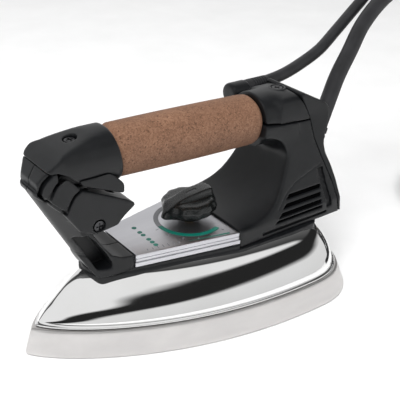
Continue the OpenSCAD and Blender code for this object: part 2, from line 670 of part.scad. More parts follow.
module terminal_screws() {
    color([0.8, 0.7, 0.4]) for (y = terminal_y)
        translate([block[0] + 7, y, block[1] + 12]) screw(4, 1.2, 2, 4);
}
clamp_z = 86;
module cord_clamp() {
    color([0.12, 0.12, 0.12]) translate([70, -14, clamp_z - 3]) cube([9, 28, 6]);
}
module element_wires() {
    x0 = chamber_x + element_reach + 8;
    color([0.7, 0.1, 0.1]) for (side = [-1, 1]) swept([[x0, side * element_r, element_z],
        [x0 + 3, side * element_r, element_z], [x0 + 5, side * 31, 25], [x0 + 3, side * 26, 29],
        [x0, side * 20, 32], [x0 - 4, side * 14, 36],
        [wire_hole[0], side * 11, 40], [wire_hole[0], side * 11, 43],
        [wire_hole[0], side * 12, 46], [wire_hole[0], side * 12, block[1]]], 1.1, 8);
}
module supply_wires() {
    color([0.2, 0.45, 0.2]) for (y = [-12, -5, 12]) swept([[76, y, clamp_z - 3], [76, y, 81], [78, y, 78],
        [84, y, 74], [91, y, 68], [93, y, 60], [91, y, 55], [89, y, 54], [block[0] + 13, y, 54]], 1.1, 8);
}
module switch_wires() {
    color([0.1, 0.2, 0.7]) for (side = [-1, 1]) swept([
        [switch_x[0], side * 3, 87], [switch_x[0] - 3, side * 3, 87],
        [-85, side * 3, 90], [-90, side * 3, 96], [-93.5, side * 3, 104], [-93.5, side * 2.6, 110],
        [-90, side * 2.2, 114.6], [-83, side * 1.8, handle_axis_z(-83)], [60, side * 1.8, handle_axis_z(60)],
        [66, side * 2.4, handle_axis_z(66) - 1], [72, side * 5, 105], [75, side * 7, 98], [75, side * 8, 93],
        [75, side * 8, clamp_z + 3]], 0.9, 8);
}

// ---------------------------------------------------------------- cords
module cable_boot() {
    color([0.05, 0.05, 0.055]) translate([58, 23, 120]) {
        rotate([0, 90 - 2.6, 0]) {
            translate([0, 0, 16.4]) cylinder(r1 = 6, r2 = cable_d / 2 + 0.9, h = 5.6);
            cylinder(r = 6, h = 16.5);
        }
    }
}
module hose_boot() {
    base = [hose_port_x, 0, hose_port_z];
    color([0.05, 0.05, 0.055]) {
        translate(base) rotate([0, 90, 0]) cylinder(r = 7, h = 9);
        hull() {
            translate([101.5, 0, 76]) rotate([0, 78, 0]) cylinder(r = 9, h = 3, $fn = 32);
            translate(hose_route[0]) rotate([0, 40, 0]) translate([0, 0, -2.2])
                cylinder(r = hose_d / 2 + 1, h = 2, $fn = 32);
        }
    }
}
module cable() { color([0.04, 0.04, 0.04]) swept(cable_route, cable_d / 2, 8); }
module hose() { color([0.04, 0.04, 0.04]) swept(hose_route, hose_d / 2, 10); }
module cable_tail() { color([0.04, 0.04, 0.04]) swept(cable_tail_route, cable_d / 2, 8); }
module hose_tail() { color([0.04, 0.04, 0.04]) swept(hose_tail_route, hose_d / 2, 10); }
module coil(r, strand_r, d, z) {
    translate([coil_centre[0], coil_centre[1], z]) rotate_extrude()
        translate([r, 0]) circle(r = strand_r + d / 2);
}
module cable_coil() { color([0.04, 0.04, 0.04]) coil(cable_coil_r, cable_strand_r, cable_d, cable_coil_z); }
module hose_coil() { color([0.04, 0.04, 0.04]) coil(hose_coil_r, hose_strand_r, hose_d, hose_coil_z); }
module connector() {
    start = cable_tail_route[4];
    color([0.05, 0.05, 0.055]) translate(start) rotate([-90, 0, 11]) {
        cylinder(r1 = 6, r2 = 10, h = 8);
        translate([0, 0, 8]) cylinder(r = 11, h = 24);
        translate([0, 0, 32]) cylinder(r = 9, h = 8);
    }
}
module hose_fitting() {
    start = hose_tail_route[4];
    color([0.8, 0.66, 0.3]) translate(start) rotate([0, 90, -18]) {
        cylinder(r = 7.2, h = 14);
        translate([0, 0, 14]) cylinder(r = 9, h = 6, $fn = 48);
        translate([0, 0, 20]) cylinder(r = 12.5, h = 16, $fn = 6);
    }
}
module coil_tie() {
    inner = cable_coil_r - cable_strand_r - cable_d / 2 - 1;
    outer = hose_coil_r + hose_strand_r + hose_d / 2 + 0.4;
    high = tie_h + 2 * (hose_strand_r + hose_d / 2) + 0.2;
    color([0.1, 0.1, 0.1]) translate([coil_centre[0] - 6, coil_centre[1] - outer, 0]) difference() {
        translate([0, -1, 0]) cube([12, outer - inner + 2, high + 1]);
        translate([-1, 0, 1]) cube([14, outer - inner, high - 1]);
    }
}

soleplate();
heating_element();
element_terminals();
chamber_cover();
chamber_screws();
thermostat_body();
thermostat_bush();
thermal_fuse();
spacer_tubes();
base_screws();
steam_pipe();
shell_cover();
insulating_base();
control_plate();
dial_ring();
spindle();
knob();
knob_pointer();
knob_clip();
post_left();
post_right();
post_screw();
post_screw_nut();
front_cap();
front_cap_screw();
trigger();
trigger_pin();
trigger_spring();
microswitch();
switch_plunger();
handle_tube();
cork_grip();
front_bush();
rear_bush();
rear_housing();
rear_top_cap();
rear_cap_screw();
rear_cover();
rear_cover_screws();
vent_grille_left();
vent_grille_right();
terminal_block();
terminal_screws();
cord_clamp();
element_wires();
switch_wires();
supply_wires();
cable_boot();
hose_boot();
cable();
cable_coil();
cable_tail();
connector();
hose();
hose_coil();
hose_tail();
hose_fitting();
coil_tie();
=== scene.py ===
"""A professional steam iron with a cork grip: looks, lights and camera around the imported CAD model.

Sizes are millimetres in the CAD model's frame: the nose points to -X, the near side is -Y and +Z is up.
MM turns them into metres.
"""
import json
import math

import bmesh
import bpy
import numpy as np
import openvdb
from mathutils import Matrix, Vector


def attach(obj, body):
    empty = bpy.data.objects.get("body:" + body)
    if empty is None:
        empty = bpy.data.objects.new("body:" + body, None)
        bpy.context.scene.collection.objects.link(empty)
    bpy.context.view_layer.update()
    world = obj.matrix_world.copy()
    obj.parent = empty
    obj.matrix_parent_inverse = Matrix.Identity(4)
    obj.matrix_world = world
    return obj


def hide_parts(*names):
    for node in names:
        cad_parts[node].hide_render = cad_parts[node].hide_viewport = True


MM = 0.001
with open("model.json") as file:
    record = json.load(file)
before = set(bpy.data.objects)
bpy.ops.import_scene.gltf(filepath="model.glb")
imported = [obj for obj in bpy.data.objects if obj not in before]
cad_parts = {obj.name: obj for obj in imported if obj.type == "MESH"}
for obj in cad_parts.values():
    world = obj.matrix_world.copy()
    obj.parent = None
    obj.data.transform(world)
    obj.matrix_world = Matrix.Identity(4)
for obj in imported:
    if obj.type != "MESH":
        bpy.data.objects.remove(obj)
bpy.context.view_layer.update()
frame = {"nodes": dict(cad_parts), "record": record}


# ---- shader nodes
def feed(tree, node, inputs):
    """Set each input, or link it when the value is another node's socket."""
    for name, value in inputs.items():
        if isinstance(value, bpy.types.NodeSocket):
            tree.links.new(value, node.inputs[name])
        else:
            node.inputs[name].default_value = value


def add_node(tree, kind, inputs, **settings):
    node = tree.nodes.new("ShaderNode" + kind)
    for name, value in settings.items():
        setattr(node, name, value)
    feed(tree, node, inputs)
    return node


def ramp(tree, factor, stops):
    node = tree.nodes.new("ShaderNodeValToRGB")
    node.color_ramp.elements[0].position = stops[0][0]
    node.color_ramp.elements[0].color = (*stops[0][1], 1)
    node.color_ramp.elements[1].position = stops[-1][0]
    node.color_ramp.elements[1].color = (*stops[-1][1], 1)
    for position, colour in stops[1:-1]:
        node.color_ramp.elements.new(position).color = (*colour, 1)
    tree.links.new(factor, node.inputs["Fac"])
    return node.outputs["Color"]


def blend(tree, kind, a, b):
    inputs = {"Factor": 1.0, "A": a, "B": b}
    return add_node(tree, "Mix", inputs, data_type="RGBA", blend_type=kind).outputs["Result"]


def noise(tree, place, scale, detail=4.0, roughness=0.55):
    values = {"Vector": place, "Scale": scale, "Detail": detail, "Roughness": roughness}
    return add_node(tree, "TexNoise", values).outputs["Fac"]


def between(tree, factor, low, high):
    return add_node(tree, "MapRange", {"Value": factor, "To Min": low, "To Max": high}).outputs["Result"]


# ---- camera and studio
EYE = Vector((-0.2593, -0.3418, 0.2982))
TARGET = Vector((0.0126, 0.0, 0.0640))
ROLL = math.radians(2.4)
LENS, SENSOR = 72.0, 36.0
# two directions in the room: from the low card across the dark gap, and along the row of softboxes
GAP_FACING = (-0.298, 0.638, 0.710)
BOX_FACING = (-0.25, -1.0, -0.27)
BOX_OFFSET = 0.08
FLOOR_HALF = 4000


def make_camera():
    back = (EYE - TARGET).normalized()
    right = Vector((0, 0, 1)).cross(back).normalized()
    up = back.cross(right)
    tilted_right = math.cos(ROLL) * right + math.sin(ROLL) * up
    tilted_up = -math.sin(ROLL) * right + math.cos(ROLL) * up
    data = bpy.data.cameras.new("camera")
    data.lens, data.sensor_width = LENS, SENSOR
    data.clip_start, data.clip_end = 0.01, 50
    camera = place_in_scene("camera", data)
    turn = Matrix((tilted_right, tilted_up, back)).transposed().to_4x4()
    camera.matrix_world = Matrix.Translation(EYE) @ turn
    bpy.context.scene.camera = camera


def area_light(name, place, aim, size, power):
    data = bpy.data.lights.new(name, "AREA")
    data.shape = "RECTANGLE"
    data.size, data.size_y = size
    data.energy = power
    light = place_in_scene(name, data)
    light.location = place
    light.rotation_euler = (Vector(aim) - Vector(place)).to_track_quat("-Z", "Y").to_euler()
    light.visible_glossy = False


def room_part(tree, direction, facing, offset, stops):
    """Brightness by how far a direction lies on the facing side of a plane through the model."""
    lean = add_node(tree, "VectorMath", {0: direction, 1: facing}, operation="DOT_PRODUCT")
    limits = {"Value": lean.outputs["Value"], "From Min": -1 - offset, "From Max": 1 - offset}
    share = add_node(tree, "MapRange", limits).outputs["Result"]
    return ramp(tree, share, [((1 + at) / 2, (level, level, level)) for at, level in stops])


def make_studio():
    """A pale floor in a dark room with a low white card on the near side and softboxes over it.

    The plastics and the mirror shell reflect the room.
    The area lights light the floor and stay out of reflections.
    """
    world = bpy.data.worlds.new("studio")
    bpy.context.scene.world = world
    world.use_nodes = True
    tree = world.node_tree
    tree.nodes.clear()
    direction = tree.nodes.new("ShaderNodeTexCoord").outputs["Generated"]
    card = room_part(tree, direction, GAP_FACING, 0, [(-1, 0.70), (-0.16, 0.78), (-0.10, 0.02), (1, 0.02)])
    above = room_part(tree, direction, GAP_FACING, 0, [(-1, 0), (0.07, 0), (0.12, 1), (1, 1)])
    boxes = room_part(tree, direction, BOX_FACING, BOX_OFFSET,
                      [(-1, 0.8), (-0.5, 0.8), (-0.35, 0.1), (-0.03, 0.03), (0.04, 0.85), (1, 0.85)])
    room = blend(tree, "ADD", card, blend(tree, "MULTIPLY", above, boxes))
    shine = add_node(tree, "Background", {"Color": room, "Strength": 1.0})
    add_node(tree, "OutputWorld", {"Surface": shine.outputs[0]})

    corners = [(FLOOR_HALF * x, FLOOR_HALF * y, 0) for x, y in ((-1, -1), (1, -1), (1, 1), (-1, 1))]
    mesh_object("floor", corners, [(0, 1, 2, 3)], "floor_paper")
    area_light("overhead_softbox", (-0.3, -0.3, 1.3), (0, 0, 0.05), (1.2, 0.9), 18)
    area_light("left_softbox", (-1.1, -0.5, 0.9), (0, 0, 0.05), (0.9, 0.9), 5)
    view = bpy.context.scene.view_settings
    view.view_transform, view.look, view.exposure = "Standard", "None", 0.0


# ---- materials
def new_material(name):
    material = bpy.data.materials.new(name)
    material.use_nodes = True
    tree = material.node_tree
    return material, tree, tree.nodes["Principled BSDF"]


def object_place(tree, scale=(1, 1, 1)):
    """Object coordinates, scaled, so that a grain has its real size on every piece."""
    place = tree.nodes.new("ShaderNodeTexCoord").outputs["Object"]
    return add_node(tree, "Mapping", {"Vector": place, "Scale": scale}).outputs["Vector"]


def bump(tree, shader, height, strength, distance):
    relief = add_node(tree, "Bump", {"Height": height, "Strength": strength, "Distance": distance})
    tree.links.new(relief.outputs["Normal"], shader.inputs["Normal"])


def grained(name, dark, light, grain, rough=(0.4, 0.5), metal=0.0, relief=0.1, depth=0.0002,
            stretch=(1, 1, 1), specular=0.5):
    """A material whose colour and roughness wander with a grain of the given size in repeats per metre."""
    material, tree, shader = new_material(name)
    place = object_place(tree, stretch)
    fine = noise(tree, place, grain)
    broad = noise(tree, place, grain / 18)
    feed(tree, shader, {"Base Color": ramp(tree, broad, [(0.3, dark), (0.7, light)]), "Metallic": metal,
                        "Roughness": between(tree, fine, *rough), "Specular IOR Level": specular})
    bump(tree, shader, fine, relief, depth)
    return material


def cork_material():
    """Pressed cork: packed granules, each with its own brown, and dark specks between them."""
    material, tree, shader = new_material("pressed_cork")
    place = object_place(tree)
    warp = add_node(tree, "TexNoise", {"Vector": place, "Scale": 500})
    bend = {0: warp.outputs["Color"], 1: (0.0008, 0.0008, 0.0008), 2: place}
    bent = add_node(tree, "VectorMath", bend, operation="MULTIPLY_ADD")
    cells = add_node(tree, "TexVoronoi", {"Vector": bent.outputs[0], "Scale": 1350})
    shade = add_node(tree, "SeparateColor", {"Color": cells.outputs["Color"]}).outputs[0]
    granules = ramp(tree, shade, [(0.0, (0.09, 0.045, 0.026)), (0.08, (0.145, 0.076, 0.046)),
                                  (0.5, (0.182, 0.099, 0.061)), (1.0, (0.235, 0.133, 0.087))])
    tint = ramp(tree, noise(tree, place, 60), [(0.3, (0.86, 0.83, 0.82)), (0.7, (1.08, 1.05, 1.02))])
    feed(tree, shader, {"Base Color": blend(tree, "MULTIPLY", granules, tint),
                        "Roughness": between(tree, shade, 0.62, 0.8), "Specular IOR Level": 0.3})
    bump(tree, shader, cells.outputs["Distance"], 0.25, 0.0003)
    return material


def chrome_material():
    """Polished chrome with the faint haze and hairlines of use."""
    material, tree, shader = new_material("mirror_chrome")
    place = object_place(tree)
    hairlines = noise(tree, object_place(tree, (0.15, 1, 1)), 900, 2)
    haze = ramp(tree, noise(tree, place, 25), [(0.3, (0.83, 0.83, 0.82)), (0.7, (0.88, 0.88, 0.88))])
    feed(tree, shader, {"Base Color": haze, "Roughness": between(tree, hairlines, 0.02, 0.065),
                        "Metallic": 1.0})
    bump(tree, shader, noise(tree, place, 40, 1), 0.02, 0.0005)
    return material


def rubber_material():
    """The cords' black rubber, matt and finely grained."""
    material, tree, shader = new_material("cord_rubber_black")
    place = object_place(tree)
    fine = noise(tree, place, 2600, 2)
    shade = ramp(tree, noise(tree, place, 90), [(0.3, (0.010, 0.010, 0.011)), (0.7, (0.018, 0.018, 0.020))])
    feed(tree, shader, {"Base Color": shade, "Roughness": between(tree, fine, 0.42, 0.6)})
    bump(tree, shader, fine, 0.18, 0.00015)
    return material


def make_materials():
    """Each material slot's look. The last five are looks that have no slot of their own."""
    return {
        "mirror_shell": chrome_material(),
        "cork": cork_material(),
        "cord_rubber": rubber_material(),
        "black_plastic": grained("satin_black", (0.0045, 0.005, 0.0056), (0.007, 0.0075, 0.0085), 2400,
                                 rough=(0.34, 0.43), relief=0.10, depth=0.00012, specular=0.31),
        "knob_plastic": grained("knob_black", (0.004, 0.005, 0.005), (0.007, 0.008, 0.008), 2400,
                                rough=(0.22, 0.32), relief=0.08, depth=0.0001),
        "sole_metal": grained("satin_sole", (0.60, 0.585, 0.58), (0.66, 0.645, 0.635), 1800,
                              (0.34, 0.44), 1.0, 0.06, 0.0001, stretch=(0.2, 1, 1)),
        "plate_metal": grained("brushed_plate", (0.60, 0.60, 0.63), (0.66, 0.66, 0.69), 2600,
                               (0.36, 0.5), 1.0, 0.08, 0.0001, stretch=(0.05, 1, 1)),
        "dial_paint": grained("dial_green", (0.004, 0.115, 0.085), (0.006, 0.15, 0.11), 1500, (0.3, 0.4)),
        "steel": grained("screw_steel", (0.34, 0.34, 0.35), (0.42, 0.42, 0.43), 1500, (0.3, 0.42), 1.0),
        "spring_steel": grained("spring_wire", (0.5, 0.5, 0.5), (0.6, 0.6, 0.6), 2000, (0.2, 0.3), 1.0),
        "brass": grained("turned_brass", (0.62, 0.42, 0.16), (0.74, 0.52, 0.22), 1500, (0.2, 0.34), 1.0),
        "copper_pipe": grained("copper_tube", (0.62, 0.27, 0.16), (0.72, 0.36, 0.22), 1000, (0.25, 0.4), 1.0),
        "element_sheath": grained("element_sheath", (0.16, 0.15, 0.14), (0.26, 0.24, 0.22), 1200,
                                  (0.5, 0.65), 0.8),
        "cast_alloy": grained("cast_aluminium", (0.42, 0.42, 0.43), (0.52, 0.52, 0.53), 900,
                              (0.45, 0.6), 1.0, 0.25, 0.0003),
        "ceramic_white": grained("ceramic", (0.72, 0.70, 0.65), (0.82, 0.80, 0.76), 900, (0.3, 0.45)),
        "white_plastic": grained("white_print", (0.78, 0.78, 0.76), (0.86, 0.86, 0.84), 1500),
        "red_plastic": grained("red_plunger", (0.45, 0.03, 0.02), (0.55, 0.05, 0.03), 1500, (0.35, 0.45)),
        "wire_insulation": grained("wire_silicone", (0.35, 0.08, 0.04), (0.45, 0.12, 0.05), 1500,
                                   (0.45, 0.6)),
        "tie_fabric": grained("tie_webbing", (0.012, 0.012, 0.013), (0.03, 0.03, 0.032), 3000,
                              (0.8, 0.95), relief=0.6, depth=0.0004),
        "floor_paper": grained("floor_paper", (0.86, 0.86, 0.86), (0.9, 0.9, 0.9), 300,
                               (0.75, 0.9), relief=0.02, specular=0.15),
        "dial_grey": grained("dial_grey", (0.16, 0.165, 0.18), (0.20, 0.205, 0.22), 1500, (0.35, 0.45)),
        "pointer_grey": grained("pointer_grey", (0.035, 0.037, 0.042), (0.05, 0.052, 0.058), 1500,
                                (0.35, 0.45)),
        # a near-black matt sheet with no reflection: painted shade for the inside of the louvres
        "louvre_painted_shade_black": grained("louvre_painted_shade", (0.0012, 0.0012, 0.0013), (0.002, 0.002, 0.0022), 1500,
                                (0.9, 1.0), specular=0.0),
        "dark_steel": grained("screw_blackened", (0.05, 0.05, 0.052), (0.09, 0.09, 0.095), 1500,
                              (0.3, 0.45), 1.0),
    }


# ---- mesh helpers
def place_in_scene(name, data):
    obj = bpy.data.objects.new(name, data)
    bpy.context.scene.collection.objects.link(obj)
    return obj


def mesh_object(name, points, faces, look, crease=None):
    """A mesh from points in millimetres. Edges sharper than crease degrees stay hard."""
    mesh = bpy.data.meshes.new(name)
    mesh.from_pydata([Vector(p) * MM for p in points], [], faces)
    mesh.validate()
    mesh.materials.append(materials[look])
    if crease is not None:
        soften_shading(mesh, crease)
    return place_in_scene(name, mesh)


def soften_shading(mesh, crease):
    mesh.shade_smooth()
    mesh.set_sharp_from_angle(angle=math.radians(crease))


def evaluated_mesh(obj):
    bpy.context.view_layer.update()
    return bpy.data.meshes.new_from_object(obj.evaluated_get(bpy.context.evaluated_depsgraph_get()))


def piece(obj, slot_name, *nodes, body="root"):
    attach(obj, body)
    if nodes:
        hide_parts(*nodes)


def loft(name, rings, look, crease=40, caps=True):
    """A closed skin over rings of equally many points."""
    around = len(rings[0])
    points = [p for ring in rings for p in ring]
    faces = []
    for low in range(0, len(points) - around, around):
        for i in range(around):
            j = (i + 1) % around
            faces.append((low + i, low + j, low + around + j, low + around + i))
    if caps:
        faces.append(tuple(reversed(range(around))))
        faces.append(tuple(range(len(points) - around, len(points))))
    return mesh_object(name, points, faces, look, crease)


def slab_loft(name, outline, look, low, high):
    """An outline in XY given a thickness."""
    return loft(name, [[(x, y, z) for x, y in outline] for z in (low, high)], look, 20)


def spin(name, profile, look, steps=96, place=(0, 0, 0), tilt=0.0, crease=40, wobble=None):
    """A turned solid: (radius, height) pairs from bottom to top, spun about Z, then laid at a place."""
    rings = []
    for radius, height in profile:
        ring = []
        for i in range(steps):
            angle = 2 * math.pi * i / steps
            reach = radius * (wobble(angle, radius, height) if wobble else 1)
            ring.append((reach * math.cos(angle), reach * math.sin(angle), height))
        rings.append(ring)
    obj = loft(name, rings, look, crease)
    lay(obj, place, Matrix.Rotation(math.radians(tilt), 4, "Y"))
    return obj


def lay(obj, place, turn):
    obj.data.transform(Matrix.Translation(Vector(place) * MM) @ turn)


def smooth_path(points, steps=6):
    """A Catmull-Rom curve through the points."""
    points = [Vector(p) for p in points]
    ends = [2 * points[0] - points[1]] + points + [2 * points[-1] - points[-2]]
    out = []
    for a, b, c, d in zip(ends, ends[1:], ends[2:], ends[3:]):
        for i in range(steps):
            t = i / steps
            out.append(0.5 * (2 * b + (c - a) * t + (2 * a - 5 * b + 4 * c - d) * t * t
                              + (3 * b - a - 3 * c + d) * t * t * t))
    return out + [points[-1]]


def smooth_points(line):
    return [(p.x, p.y) for p in smooth_path([Vector((*p, 0)) for p in line], 5)]


def tube(name, points, radius, look, resolution=6):
    data = bpy.data.curves.new(name, "CURVE")
    data.dimensions = "3D"
    data.bevel_depth = radius * MM
    data.bevel_resolution = resolution
    data.use_fill_caps = True
    spline = data.splines.new("POLY")
    spline.points.add(len(points) - 1)
    for spot, p in zip(spline.points, points):
        spot.co = (*(Vector(p) * MM), 1)
    data.materials.append(materials[look])
    return place_in_scene(name, data)


# ---- moulded solids from distance fields
class Block:
    """Sample points, in millimetres, at which moulded solids are worked out as signed distances."""

    def __init__(self, low, high, step):
        self.low, self.step = Vector(low), step
        x, y, z = (np.arange(a, b + step, step, dtype=np.float32) for a, b in zip(low, high))
        self.x, self.y, self.z = x[:, None, None], y[None, :, None], z[None, None, :]
        self.side_reach = np.abs(self.y)

    def side(self, points):
        """An outline in XZ, running along Y."""
        return outline_distance(points, self.x, self.z)

    def top(self, points):
        """An outline in XY, running along Z."""
        return outline_distance(points, self.x, self.y)

    def end(self, points):
        """An outline in YZ, running along X."""
        return outline_distance(points, self.y, self.z)

    def line(self, points):
        """Distance in XZ from an open line."""
        return line_distance(points, self.x, self.z)

    def upright(self, x, y=0):
        """Distance from a vertical line."""
        return np.hypot(self.x - x, self.y - y)

    def lengthwise(self, y, z):
        """Distance from a line along X."""
        return np.hypot(self.y - y, self.z - z)

    def crosswise(self, x, z):
        """Distance from a line along Y."""
        return np.hypot(self.x - x, self.z - z)

    def rod(self, start, along, radius):
        """An endless round rod through start."""
        axis = Vector(along).normalized()
        dx, dy, dz = self.x - start[0], self.y - start[1], self.z - start[2]
        run = dx * axis.x + dy * axis.y + dz * axis.z
        return np.sqrt(np.maximum(dx * dx + dy * dy + dz * dz - run * run, 0)) - radius

    def grip_rod(self, radius):
        """A round rod along the grip's axis."""
        return self.rod(on_axis(0), HANDLE_AXIS, radius)

    def plane(self, point, facing):
        """The half space behind a plane."""
        n = Vector(facing).normalized()
        return (self.x - point[0]) * n.x + (self.y - point[1]) * n.y + (self.z - point[2]) * n.z

    def mould(self, name, values, slot, *nodes, look=None, body="root", crease=50):
        """Mesh the skin of a solid, and make it a piece that stands in for the CAD nodes."""
        values = np.clip(values / self.step, -3, 3).astype(np.float32)
        grid = openvdb.FloatGrid(3.0)
        grid.copyFromArray(np.ascontiguousarray(values))
        points, triangles, quads = grid.convertToPolygons(isovalue=0.0, adaptivity=0.02)
        points = points * self.step + np.array(self.low)
        faces = [tuple(int(i) for i in f[::-1]) for group in (quads, triangles) for f in group]
        piece(mesh_object(name, points.tolist(), faces, look or slot, crease), slot, *nodes, body=body)


def line_distance(points, u, v):
    best = None
    for (ax, ay), (bx, by) in zip(points, points[1:]):
        ex, ey = bx - ax, by - ay
        t = np.clip(((u - ax) * ex + (v - ay) * ey) / (ex * ex + ey * ey), 0, 1)
        gap = (u - ax - t * ex) ** 2 + (v - ay - t * ey) ** 2
        best = gap if best is None else np.minimum(best, gap)
    return np.sqrt(best)


def outline_distance(points, u, v):
    inside = np.zeros(np.broadcast(u, v).shape, bool)
    for (ax, ay), (bx, by) in zip(points, points[1:] + points[:1]):
        if ay != by:
            inside ^= ((ay > v) != (by > v)) & (u < (bx - ax) * (v - ay) / (by - ay) + ax)
    gap = line_distance(points + points[:1], u, v)
    return np.where(inside, -gap, gap)


def slab(values, middle, half):
    """What lies between two planes."""
    return np.abs(values - middle) - half


def both(first, *others):
    """What solids share, with sharp edges."""
    for other in others:
        first = np.maximum(first, other)
    return first


def meet(a, b, soft=1.0):
    """What two solids share, with the edge between them rounded."""
    h = np.maximum(soft - np.abs(a - b), 0) / soft
    return np.maximum(a, b) + h * h * soft / 4


def join(a, b, soft=1.0):
    return -meet(-a, -b, soft)


def cut(a, b, soft=0.6):
    return meet(a, -b, soft)


def engrave(solid, mark, depth):
    """A mark pressed into the skin of a solid."""
    return meet(solid, np.minimum(-mark, solid + depth), 0.3)


def groove(solid, distance, width, depth):
    """A shallow channel along a line, where distance is under half the width."""
    return engrave(solid, distance - width / 2, depth)


def rounded(points, radius, steps=5):
    """An outline with its corners rounded."""
    points = [Vector(p) for p in points]
    out = []
    for a, p, b in zip(points[-1:] + points[:-1], points, points[1:] + points[:1]):
        before, after = (a - p), (b - p)
        start = p + before * min(radius / before.length, 0.48)
        end = p + after * min(radius / after.length, 0.48)
        for i in range(steps + 1):
            t = i / steps
            out.append(tuple(start * (1 - t) ** 2 + p * 2 * t * (1 - t) + end * t * t))
    return out


def mirrored(near_half):
    """A whole outline from its near half. Points on the middle line aren't doubled."""
    return near_half + [(x, -y) for x, y in reversed(near_half) if y]


# ---- cords
COIL = Vector((282, -46, 0))
CABLE_D, HOSE_D = 8.0, 11.0
CABLE_EXIT = (80, 23, 121)
HOSE_EXIT = (112, 0, 92)
CABLE_ROUTE = [CABLE_EXIT, (98, 24, 123), (116, 26, 127), (134, 28, 133), (151, 32, 141), (167, 35, 150),
               (183, 38, 159), (198, 41, 168), (213, 42, 175), (229, 43, 178), (245, 44, 177), (261, 43, 168),
               (275, 39, 152), (287, 30, 132), (298, 17, 110), (308, 2, 88), (315, -10, 69), (319, -22, 53),
               (321, -33, 40), (321, -46, 30), (317, -61, 24)]
HOSE_ROUTE = [HOSE_EXIT, (121, 3, 106), (133, 8, 120), (149, 14, 133), (166, 21, 146), (185, 26, 157),
              (205, 30, 164), (226, 32, 167), (247, 32, 165), (267, 29, 158), (285, 23, 147), (302, 14, 133),
              (317, 3, 116), (329, -9, 98), (338, -18, 79), (344, -27, 61), (347, -38, 46), (348, -50, 35),
              (345, -66, 27)]
CABLE_TAIL = [(266, -76, 19), (256, -69, 25), (248, -60, 31), (243, -50, 36), (240, -40, 39)]
HOSE_TAIL = [(251, 7, 20), (263, 13, 27), (275, 17, 34), (287, 19, 39), (298, 20, 41)]
TURN_STEPS = 24


def coil(radius, strand, height, start, turns, step):
    """Turns of a winding, clockwise from start degrees. Each lies a step further round the bundle."""
    out = []
    for i in range(round(turns * TURN_STEPS) + 1):
        run = i / TURN_STEPS
        angle = math.radians(start - 360 * run)
        lean = math.radians(90 - step * run)
        reach = radius + strand * math.cos(lean)
        spot = Vector((reach * math.cos(angle), reach * math.sin(angle), height + strand * math.sin(lean)))
        out.append(COIL + spot)
    return out


def make_cords():
    cable_path = CABLE_ROUTE + coil(40, 8.0, 13.0, -47, 5.17, 60) + CABLE_TAIL[1:]
    hose_path = HOSE_ROUTE + coil(66, HOSE_D * math.sqrt(2) / 2, 14.3, -31, 3.58, 90) + HOSE_TAIL[1:]
    cable = tube("power_cable", smooth_path(cable_path, 4), CABLE_D / 2, "cord_rubber")
    hose = tube("steam_hose", smooth_path(hose_path, 4), HOSE_D / 2, "cord_rubber", 8)
    piece(cable, "cord_rubber", "cable", "cable_coil", "cable_tail")
    piece(hose, "cord_rubber", "hose", "hose_coil", "hose_tail")


# ---- sole and mirror shell
SOLE_L, SOLE_W, SOLE_H = 220.0, 128.0, 16.8
NOSE, HEEL = -SOLE_L / 2, SOLE_L / 2
SHELL_NOSE, SHELL_HEEL, SHELL_HALF = NOSE + 8.6, HEEL - 9, SOLE_W / 2 - 7
SHELL_RISE = 44.5 - SOLE_H
SHELL_WALL = 1.2
PLAN_STEPS = 96
STEAM_HOLES = [(x, y) for x in range(-32, 53, 12) for y in (-15, 0, 15)]


def plan_half(share, half):
    """Half width of the sole's outline at a share of its length: a pointed nose, then a rounded heel."""
    wide_at, nose_power, heel_power = 0.785, 0.75, 2.6
    if share <= wide_at:
        return half * math.sin(math.pi / 2 * (share / wide_at) ** nose_power)
    return half * max(0.0, 1 - ((share - wide_at) / (1 - wide_at)) ** heel_power) ** (1 / heel_power)


def plan_ring(z, nose, heel, half):
    shares = [(1 - math.cos(math.pi * i / PLAN_STEPS)) / 2 for i in range(PLAN_STEPS + 1)]
    near = [(nose + (heel - nose) * s, -plan_half(s, half), z) for s in shares]
    far = [(x, -y, z) for x, y, z in reversed(near[1:-1])]
    return near + far


def make_sole():
    # (height, share of the flare, extra inset): a rounded lower edge, a flared side and a rounded rim
    profile = [(0.0, 0.0, 2.4), (0.12, 0.0, 1.4), (0.5, 0.0, 0.55), (1.1, 0.0, 0.12), (1.8, 0.02, 0.0)]
    profile += [(1.8 + 13.2 * i / 8, 0.02 + 0.93 * i / 8, 0.0) for i in range(1, 9)]
    profile += [(15.8, 1.0, 0.08), (16.4, 1.05, 0.4), (16.7, 1.08, 0.9), (SOLE_H, 1.1, 1.7),
                (SOLE_H, 1.1, 9.0)]
    rings = [plan_ring(z, NOSE + 4.4 * f + t, HEEL - 5.6 * f - t, SOLE_W / 2 - 4 * f - t) for z, f,
             t in profile]
    sole = loft("sole_body", rings, "sole_metal", 50)
    drill(sole, STEAM_HOLES, 1.5, 10)
    piece(sole, "sole_metal", "soleplate")
    # the casting's raised island, which carries the steam chamber
    rings = [plan_ring(z, -90 + inset, 80 - inset, 50 - inset) for z,
             inset in ((15, 0), (22.5, 0), (24, 1.5))]
    piece(loft("sole_island", rings, "cast_alloy", 50), "cast_alloy")


